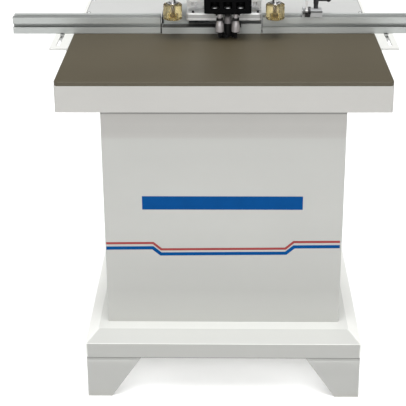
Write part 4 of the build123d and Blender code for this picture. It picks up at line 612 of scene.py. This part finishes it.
plate_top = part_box("head_base_plate")[1].z * 1000
front_row, rear_row = 66, 186
front_screws = [(x, front_row, plate_top) for x in (-82, 90)]
cap_screws("base_plate_front_screws", front_screws, up, size=5.0, body="frame")
rear_screws = [(side * x, rear_row, plate_top) for side in (-1, 1) for x in (40, 88)]
cap_screws("base_plate_rear_screws", rear_screws, up, size=8.0, body="frame")
forward = (0, -1, 0)
rail_x = 80
rail_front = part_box("linear_rails")[0].y * 1000
plug_lowest, plug_pitch, plug_count = 899, 60, 6
plug_rows = [plug_lowest + plug_pitch * row for row in range(plug_count)]
plug_outline = [(4.2, 0, 0), (4.2, 0.05, 0), (3.6, 0.05, 0), (3.4, 0.01, 0)]
plug_places = [(side * rail_x, rail_front, row) for side in (-1, 1) for row in plug_rows]
turned("rail_plugs", plug_outline, plug_places, forward, black_moulding, "frame", "black_plastic")
saddle_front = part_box("head_saddle")[0].y * 1000
upper_columns = (67, 93)
upper_rows = (1039, 1065)
lower_columns = (-93, -67, 93)
lower_rows = (912, 938)
saddle_screws = [(side * x, saddle_front, z) for side in (-1, 1) for x in upper_columns for z in upper_rows]
saddle_screws += [(x, saddle_front, z) for x in lower_columns for z in lower_rows]
cap_screws("saddle_screws", saddle_screws, forward, size=5.0, body="drill_head")

# Gear head: a black enamelled casting with a spindle plate below and three bright grease caps.
# Three geared spindles of turned steel, the centre one painted darker as shade, carry a blackened 35 mm
# hinge bit and two blackened 8 mm bits; black rings lock their noses.
dress(black_enamel, "gearbox_housing", "spindle_plate")
lathe_lines = (40.0, 40.0, 2500.0)
turned_steel = worked("turned steel", (0.60, 0.605, 0.61), lathe_lines, metallic=1.0, dullness=0.32)
dress(turned_steel, "spindle_bearings", "grease_caps")
bit_black = (0.006, 0.006, 0.006)
blackened = worked("blackened bits", bit_black, oxide_lines, metallic=0.0, dullness=0.5, gloss=0.2)
dress(blackened, "hinge_bit", "left_bit", "right_bit")
nose_tone = (0.53, 0.505, 0.51)
nose_finish = worked("satin noses with black rims", nose_tone, lathe_lines, metallic=0.5, dullness=0.44)
black_rim = by_place(nose_finish, "Z", 0.8358, 0.8352)
zone(nose_finish, (0.02, 0.02, 0.02), black_rim)
dress(nose_finish, "left_spindle", "right_spindle")
# Painted shade: the centre nose is a darker copy of the side noses' finish, as it stands in shade.
centre_shade_tone = (0.27, 0.255, 0.26)
centre_shaded_finish = worked("centre nose with painted shade", centre_shade_tone, lathe_lines, metallic=0.5, dullness=0.5)
dress(centre_shaded_finish, "centre_spindle")


def lock_ring(radius, low, high):
    """Outline of a ring round a spindle, with its outer edges broken."""
    bore = 6.1
    edge = 0.6
    lower_edge = 0.4
    outline = [(bore, low, 0), (radius - lower_edge, low, 0), (radius, low + edge, 0)]
    return outline + [(radius, high - edge, 0), (radius - edge, high, 0), (bore, high, 0)]


side_ring = lock_ring(radius=8.8, low=865.2, high=871.8)
centre_ring = lock_ring(radius=8.6, low=874.0, high=884.0)
spindle_rings = {"left_spindle": side_ring, "right_spindle": side_ring, "centre_spindle": centre_ring}
for body, outline in spindle_rings.items():
    low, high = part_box(body)
    place = ((low.x + high.x) * 500, (low.y + high.y) * 500, 0)
    turned(f"{body}_ring", outline, [place], up, black_oxide, body, "black_steel", closed=True)
down = (0, 0, -1)
cover_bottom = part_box("spindle_plate")[0].z * 1000
cover_spots = ((-25.1, 7.7), (-19.1, -14.5), (39.1, -14.5), (45.1, 7.7), (-0.5, 23.1), (20.5, 23.1))
cover_screws = [(*spot, cover_bottom) for spot in cover_spots]
cap_screws("spindle_plate_screws", cover_screws, down, size=3.5, body="drill_head")

# Motor: an enamelled housing with cooling ribs and a lidded terminal box, bolted to the gear head by its
# flange, with a pressed fan cover, and its rotor.
dress(motor_enamel, "motor_housing", "motor_fan_cover")
dress(turned_steel, "motor_rotor")
motor_x, motor_y = 10.0, 10.6
flange_top = 995.0
flange_bolt = 45.0
corner_signs = [(x, y) for x in (-1, 1) for y in (-1, 1)]
flange_bolts = [(motor_x + x * flange_bolt, motor_y + y * flange_bolt, flange_top) for x, y in corner_signs]
hex_bolts("motor_flange_bolts", flange_bolts, up, size=5.0, body="drill_head")


def lid(name, middle, across, upward, size, corner, thick, border, material, body, slot):
    """A flat cover with rounded corners and a chamfered edge; with a border it is a frame, open inside."""
    way = Vector(across).cross(Vector(upward))
    edge = thick / 3
    rings = [(0, 0), (0, thick - edge), (edge, thick)]
    if border:
        rings += [(border, thick), (border + edge, 0)]
    corners = []
    steps = 6
    least_radius = 0.5
    for inset, height in rings:
        for quarter, (sign_x, sign_y) in enumerate(((1, 1), (-1, 1), (-1, -1), (1, -1))):
            radius = max(corner - inset, least_radius)
            for step in range(steps):
                angle = math.pi / 2 * (quarter + step / (steps - 1))
                x = sign_x * (size[0] / 2 - inset - radius) + radius * math.cos(angle)
                y = sign_y * (size[1] / 2 - inset - radius) + radius * math.sin(angle)
                corners.append(Vector(middle) + Vector(across) * x + Vector(upward) * y + way * height)
    count = 4 * steps
    faces = []
    for ring in range(len(rings) - 1):
        low = ring * count
        high = low + count
        for k in range(count):
            after = (k + 1) % count
            faces.append((low + k, low + after, high + after, high + k))
    if not border:
        faces.append([(len(rings) - 1) * count + k for k in range(count)])
    return piece(name, corners, faces, material, body, slot)


back = (0, 1, 0)
terminal_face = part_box("motor_housing")[0].x * 1000
terminal_z = 1085.0
terminal_thick = 2.4
lid(
    "terminal_lid", (terminal_face, motor_y, terminal_z), up, back, size=(57, 47), corner=5,
    thick=terminal_thick, border=0, material=motor_enamel, body="drill_head", slot="motor_paint",
)
screw_face = terminal_face - terminal_thick
screw_y, screw_z = 17.5, 22.5
terminal_screws = [(screw_face, motor_y + y * screw_y, terminal_z + z * screw_z) for z, y in corner_signs]
domed_screws("terminal_lid_screws", terminal_screws, left, size=4.0, body="drill_head")
cover_radius = 55.8
cover_screw_z = 1182.0
for quarter in range(4):
    angle = math.pi / 4 + quarter * math.pi / 2
    way = (math.cos(angle), math.sin(angle), 0)
    screw = (motor_x + cover_radius * way[0], motor_y + cover_radius * way[1], cover_screw_z)
    domed_screws(f"fan_cover_screw_{quarter}", [screw], way, size=4.0, body="drill_head")

# Feed: an air cylinder on the upright lifts the saddle by its rod; its tube is bright between grey caps.
# A threaded rod with two nuts stops the saddle at depth.


def tie_rod_cylinder(name, middle, half):
    """The finish of a cylinder: a bright tube between two cast caps."""
    made = worked(name, (0.60, 0.61, 0.61), lines=(900.0, 900.0, 6.0), metallic=0.7, dullness=0.30)
    tree = made.node_tree
    from_tube = away(tree, along(tree, part_place(tree), "Z"), middle)
    zone(made, (0.23, 0.235, 0.24), mask(tree, from_tube, half, half + 2 * paint_edge))
    return made


dress(tie_rod_cylinder("feed cylinder", middle=1.325, half=0.055), "lift_cylinder")
chrome_lines = (60.0, 60.0, 60.0)
chrome = worked("chromed rod", (0.66, 0.66, 0.67), chrome_lines, metallic=1.0, dullness=0.20)
dress(chrome, "lift_rod")


def thread(place, low, high, crest, root, pitch, sides=18):
    """Corners and faces of a screw thread round an upright axis."""
    corners = []
    faces = []
    turns = 2 * math.ceil((high - low) / pitch) + 2
    for ring in range(turns):
        radius = crest if ring % 2 else root
        for step in range(sides):
            angle = math.tau * step / sides
            height = min(max(low + (ring / 2 - 1 + step / sides) * pitch, low), high)
            corners.append((place[0] + radius * math.cos(angle), place[1] + radius * math.sin(angle), height))
    for ring in range(turns - 3):
        for step in range(sides):
            here = ring * sides + step
            after = here + 1 if step + 1 < sides else (ring + 2) * sides
            faces.append((here, after, after + sides, here + sides))
    faces.append([(turns - 1) * sides + step for step in range(sides)])
    return corners, faces


stop_low, stop_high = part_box("depth_stop")
stop_place = (47.0, 96.0)
rod_ends = (stop_low.z * 1000, stop_high.z * 1000)
rod_corners, rod_faces = thread(stop_place, *rod_ends, crest=6.0, root=5.2, pitch=1.75)
nut_outline = [(5.4, 0, 0), (7.9, 0, 0), (8.2, 0.5, 6), (8.2, 8.5, 6), (7.9, 9, 0), (5.4, 9, 0)]
nut_heights = (1245, 1255)
nut_places = [(*stop_place, height) for height in nut_heights]
nut_corners, nut_faces = lathe(nut_outline, nut_places, up, closed=True)
stop_corners = rod_corners + nut_corners
stop_faces = rod_faces + [[corner + len(rod_corners) for corner in face] for face in nut_faces]
stop_rod = piece("depth_stop_thread", stop_corners, stop_faces, zinc, "drill_head", "bright_steel")
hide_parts("depth_stop")

# Press pads: arms on the upright carry two air cylinders, held by tie-rod nuts; their rods press cast
# amber buffers down. The clear polyurethane shows the dark screw inside it.
dress(milled, "holddown_arms")
dress(tie_rod_cylinder("press cylinders", middle=1.0165, half=0.0475), "holddown_cylinders")
rod_tone = (0.62, 0.62, 0.63)
rod_finish = worked("chromed rod with dark screw", rod_tone, chrome_lines, metallic=0.9, dullness=0.22)
dark_screw = by_place(rod_finish, "Z", 0.9089, 0.9085)
zone(rod_finish, (0.05, 0.016, 0.006), dark_screw)
dress(rod_finish, "pad_rod_left", "pad_rod_right")
polished = {"Dullness": 0.10}
amber_clear = {"Transmission Weight": 0.92, "IOR": 1.48}
amber = finish("amber polyurethane", moulding, (0.96, 0.79, 0.41), polished, amber_clear)
pad_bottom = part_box("press_pad_left")[0].z * 1000
pad_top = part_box("press_pad_left")[1].z * 1000
pad_radius = 24.5
pad_round = 4.0
pad_hole = 4.3
screw_room = 10.0
screw_roof = pad_bottom + 16.0
pad_outline = [(pad_hole, pad_top, 0), (pad_hole, screw_roof, 0)]
pad_outline += [(screw_room, screw_roof, 0), (screw_room, pad_bottom, 0)]
round_steps = 4
for centre_height, start in ((pad_bottom + pad_round, -90), (pad_top - pad_round, 0)):
    for step in range(round_steps + 1):
        angle = math.radians(start + 90 * step / round_steps)
        reach = pad_radius - pad_round + pad_round * math.cos(angle)
        pad_outline.append((reach, centre_height + pad_round * math.sin(angle), 0))
pad_x, pad_y = 133.5, 3.0
nut_m6 = [(5.0, 0, 6), (5.0, 4.2, 6), (4.6, 4.8, 0), (2.9, 4.8, 0), (2.9, 6.5, 0)]
nut_z = 1086.0
nut_offset = 15.0
arm_bolt_x, arm_bolt_y = 112.0, 120.0
arm_bolt_rows = (962.0, 990.0)
for side, sign in (("left", -1), ("right", 1)):
    pad_form = (pad_outline, [(sign * pad_x, pad_y, 0)], up)
    pad = turned(f"amber_pad_{side}", *pad_form, amber, f"{side}_pad", "amber_pad", sides=48, closed=True)
    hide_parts(f"press_pad_{side}")
    nuts = [(sign * pad_x + x * nut_offset, pad_y + y * nut_offset, nut_z) for x, y in corner_signs]
    turned(f"press_nuts_{side}", nut_m6, nuts, up, zinc, "frame", "zinc")
    arm_bolts = [(sign * arm_bolt_x, arm_bolt_y, row) for row in arm_bolt_rows]
    hex_bolts(f"arm_bolts_{side}", arm_bolts, (sign, 0, 0), size=6.0, body="frame")

# Flip stop: a milled block clamped on the fence by a lever, with painted shade on the upper part of its
# front and on one ear of its fork, and a polished finger.
block_tone = (0.52, 0.525, 0.53)
stop_finish = worked("milled block with painted shade", block_tone, milled_lines, metallic=0.4, dullness=0.42)
stop_front = by_facing(stop_finish, "Y", -0.5, -0.6)
upper_front = by_place(stop_finish, "Z", 0.871, 0.8715)
fork = by_place(stop_finish, "X", 0.2282, 0.2278)
shaded_ear_part = by_place(stop_finish, "X", 0.2120, 0.2150)
# Painted shade: the upper part of the block's front and one ear of the fork are painted dark.
zone(stop_finish, (0.16, 0.165, 0.165), both(stop_finish, stop_front, upper_front))
zone(stop_finish, (0.03, 0.03, 0.03), both(stop_finish, fork, shaded_ear_part))
dress(stop_finish, "stop_block")
dress(turned_steel, "stop_fittings")
finger_finish = worked("polished finger", (0.80, 0.80, 0.79), chrome_lines, metallic=0.4, dullness=0.25)
dress(finger_finish, "stop_finger")
dress(black_moulding, "stop_lever")

# Controls and air: a moulded control box with a framed lid, a start and a stop button in black bezels,
# two valves with brass ports behind the upright, a filter regulator with a clear bowl and a gauge.
box_finish = finish("grey box with black bezels", moulding, grey_colour)
bezels = by_place(box_finish, "Y", 0.0549, 0.0546)
zone(box_finish, black_colour, bezels)
dress(box_finish, "control_box")
box_x, box_face, box_z = 167.0, 55.0, 1155.0
lid_thick = 2.0
lid(
    "control_lid", (box_x, box_face, box_z), right, up, size=(108, 148), corner=6,
    thick=lid_thick, border=7, material=grey_moulding, body="frame", slot="grey_plastic",
)
lid_front = box_face - lid_thick
lid_screw_x, lid_screw_z = 50, 70
lid_screws = [(box_x + x * lid_screw_x, lid_front, box_z + z * lid_screw_z) for x, z in corner_signs]
domed_screws("control_lid_screws", lid_screws, forward, size=3.5, body="frame")
green_moulding = finish("green moulding", moulding, (0.02, 0.25, 0.06))
dress(green_moulding, "start_button")
red_moulding = finish("red moulding", moulding, (0.50, 0.02, 0.02))
dress(red_moulding, "stop_button")
dress(black_moulding, "cable_gland", "regulator_knob")
valve_finish = worked("valve bodies", (0.42, 0.43, 0.43), strap_lines, metallic=0.4, dullness=0.45)
brass_colour = (0.50, 0.34, 0.12)
valve_coils = by_place(valve_finish, "Z", 0.9992, 0.9988)
port_start = 0.1642
valve_ports = by_place(valve_finish, "Y", port_start - paint_edge, port_start + paint_edge)
zone(valve_finish, black_colour, valve_coils)
zone(valve_finish, brass_colour, valve_ports)
dress(valve_finish, "solenoid_valves")
regulator_finish = finish("grey regulator with black gauge", moulding, grey_colour)
gauge_start = 0.3502
gauge_case = by_place(regulator_finish, "Y", gauge_start - paint_edge, gauge_start + paint_edge)
zone(regulator_finish, black_colour, gauge_case)
dress(regulator_finish, "air_regulator")
bowl_clear = {"Transmission Weight": 0.9}
clear_bowl = finish("clear polycarbonate", moulding, (0.9, 0.93, 0.94), polished, bowl_clear)
dress(clear_bowl, "filter_bowl")

gauge_place = (222.0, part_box("air_regulator")[1].y * 1000, 581.0)
white_dial = finish("white dial", moulding, (0.75, 0.75, 0.73))
dial_outline = [(16.4, 0.0, 0), (16.4, 0.35, 0), (16.0, 0.5, 0)]
turned("gauge_dial", dial_outline, [gauge_place], back, white_dial, "frame", "grey_plastic", sides=36)


def dial_way(degrees):
    """The way from the gauge's middle outwards and the way across it, seen from behind the machine."""
    angle = math.radians(degrees)
    out = Vector((-math.cos(angle), 0, math.sin(angle)))
    return out, Vector((out.z, 0, -out.x))


mark_corners = []
mark_faces = []
mark_lift = Vector((0, 0.55, 0))
mark_radius = 15.0
mark_half = 0.4
mark_count = 11
long_mark, short_mark = 4.0, 2.6
scale_start, scale_step = 225, 27
for mark in range(mark_count):
    out, aside = dial_way(scale_start - scale_step * mark)
    length = long_mark if mark % 5 == 0 else short_mark
    foot = Vector(gauge_place) + mark_lift + out * (mark_radius - length)
    tip = foot + out * length
    first = len(mark_corners)
    mark_corners += [foot - aside * mark_half, foot + aside * mark_half]
    mark_corners += [tip + aside * mark_half, tip - aside * mark_half]
    mark_faces.append((first, first + 1, first + 2, first + 3))
needle_angle = 105
needle_half = 1.2
needle_lift = Vector((0, 0.7, 0))
out, aside = dial_way(needle_angle)
hub = Vector(gauge_place) + needle_lift
needle_tail = hub - out * 3
needle_tip = hub + out * 12
first = len(mark_corners)
mark_corners += [needle_tail - aside * needle_half, needle_tail + aside * needle_half, needle_tip]
mark_faces.append((first, first + 1, first + 2))
piece("gauge_marks", mark_corners, mark_faces, black_moulding, "frame", "black_plastic")

# Studio: a pale floor, a sky that is brightest overhead before a white backdrop, and a wide soft key from
# the operator's side. Soft lamps light the bench, the head and the front; low ones lighten the floor
# beside the cabinet and between the feet.
floor_half = 30.0
floor_mesh = bpy.data.meshes.new("floor")
floor_corners = [(-floor_half, -floor_half, 0), (floor_half, -floor_half, 0)]
floor_corners += [(floor_half, floor_half, 0), (-floor_half, floor_half, 0)]
floor_mesh.from_pydata(floor_corners, [], [(0, 1, 2, 3)])
floor = bpy.data.objects.new("floor", floor_mesh)
scene.collection.objects.link(floor)
floor_gloss = {"Specular IOR Level": 0.1}
floor_mesh.materials.append(finish("pale floor", powder, (0.94, 0.94, 0.94), shader_values=floor_gloss))

world = bpy.data.worlds.new("studio")
scene.world = world
world.use_nodes = True
sky_tree = world.node_tree
sky = sky_tree.nodes["Background"]
sky_way = sky_tree.nodes.new("ShaderNodeTexCoord").outputs["Generated"]
sky_rise = mask(sky_tree, along(sky_tree, sky_way, "Z"), 0.0, 1.0)
sky_light = spread(sky_tree, times(sky_tree, sky_rise, sky_rise), 0.05, 1.0, start=0.0, end=1.0)
backdrop = sky_tree.nodes.new("ShaderNodeLightPath").outputs["Is Camera Ray"]
sky.inputs["Color"].default_value = (1.0, 1.0, 1.0, 1.0)
sky_tree.links.new(plus(sky_tree, sky_light, backdrop), sky.inputs["Strength"])

key_rise = math.radians(74)
key = bpy.data.lights.new("key", "SUN")
key.energy = 2.85
key.angle = math.radians(36)
key_object = bpy.data.objects.new("key", key)
key_way = Vector((0.0, -math.cos(key_rise), math.sin(key_rise)))
key_object.rotation_euler = key_way.to_track_quat("Z", "Y").to_euler()
scene.collection.objects.link(key_object)


def lamp(name, place, aim, size, power, fan):
    """A soft rectangular lamp that the camera doesn't see, with its power in watts and its fan in degrees."""
    light = bpy.data.lights.new(name, "AREA")
    light.shape = "RECTANGLE"
    light.size, light.size_y = size
    light.energy = power
    light.spread = math.radians(fan)
    made = bpy.data.objects.new(name, light)
    made.location = place
    made.rotation_euler = (Vector(place) - Vector(aim)).to_track_quat("Z", "Y").to_euler()
    made.visible_camera = False
    scene.collection.objects.link(made)


def floor_lamp(name, x, y, height, size, power, fan):
    """A lamp that shines straight down on the floor."""
    lamp(name, (x, y, height), (x, y, 0.0), size, power, fan)


lamp("bench lamp", (0.0, -0.33, 1.22), (0.0, 0.06, 0.84), size=(1.3, 0.12), power=0.14, fan=80)
floor_lamp("floor lamp", 0.0, -0.357, 0.105, size=(0.80, 0.186), power=0.31, fan=180)
for lamp_side in (-1, 1):
    floor_lamp("side floor lamp", lamp_side * 0.42, 0.25, 0.50, size=(0.14, 0.8), power=0.45, fan=80)
    floor_lamp("foot lamp", lamp_side * 0.205, -0.395, 0.07, size=(0.10, 0.09), power=0.0115, fan=180)
lamp("front fill", (0.0, -3.6, 1.3), (0.0, -0.3, 0.7), size=(3.0, 2.0), power=15.0, fan=180)
lamp("head lamp", (0.02, -0.32, 0.96), (0.02, 0.07, 0.85), size=(0.5, 0.06), power=0.12, fan=70)

# Camera: a long lens a little above the machine's top, in front of it and looking down on the table.
# Its place, turn and lens are fitted to the corners of the table, cabinet and base in the photograph.
camera = bpy.data.cameras.new("camera")
camera.sensor_width = 36.0
camera.lens = 107.6
camera_object = bpy.data.objects.new("camera", camera)
camera_place = (0.0075, -3.0968, 1.6731)
ahead = Vector((-0.0193, 0.9191, -0.3937)).normalized()
across = Vector((0.9998, 0.0185, -0.0058))
across = (across - ahead * across.dot(ahead)).normalized()
camera_turn = Matrix((across, across.cross(ahead), -ahead)).transposed().to_4x4()
camera_object.matrix_world = Matrix.Translation(camera_place) @ camera_turn
scene.collection.objects.link(camera_object)
scene.camera = camera_object
scene.view_settings.view_transform = "Standard"
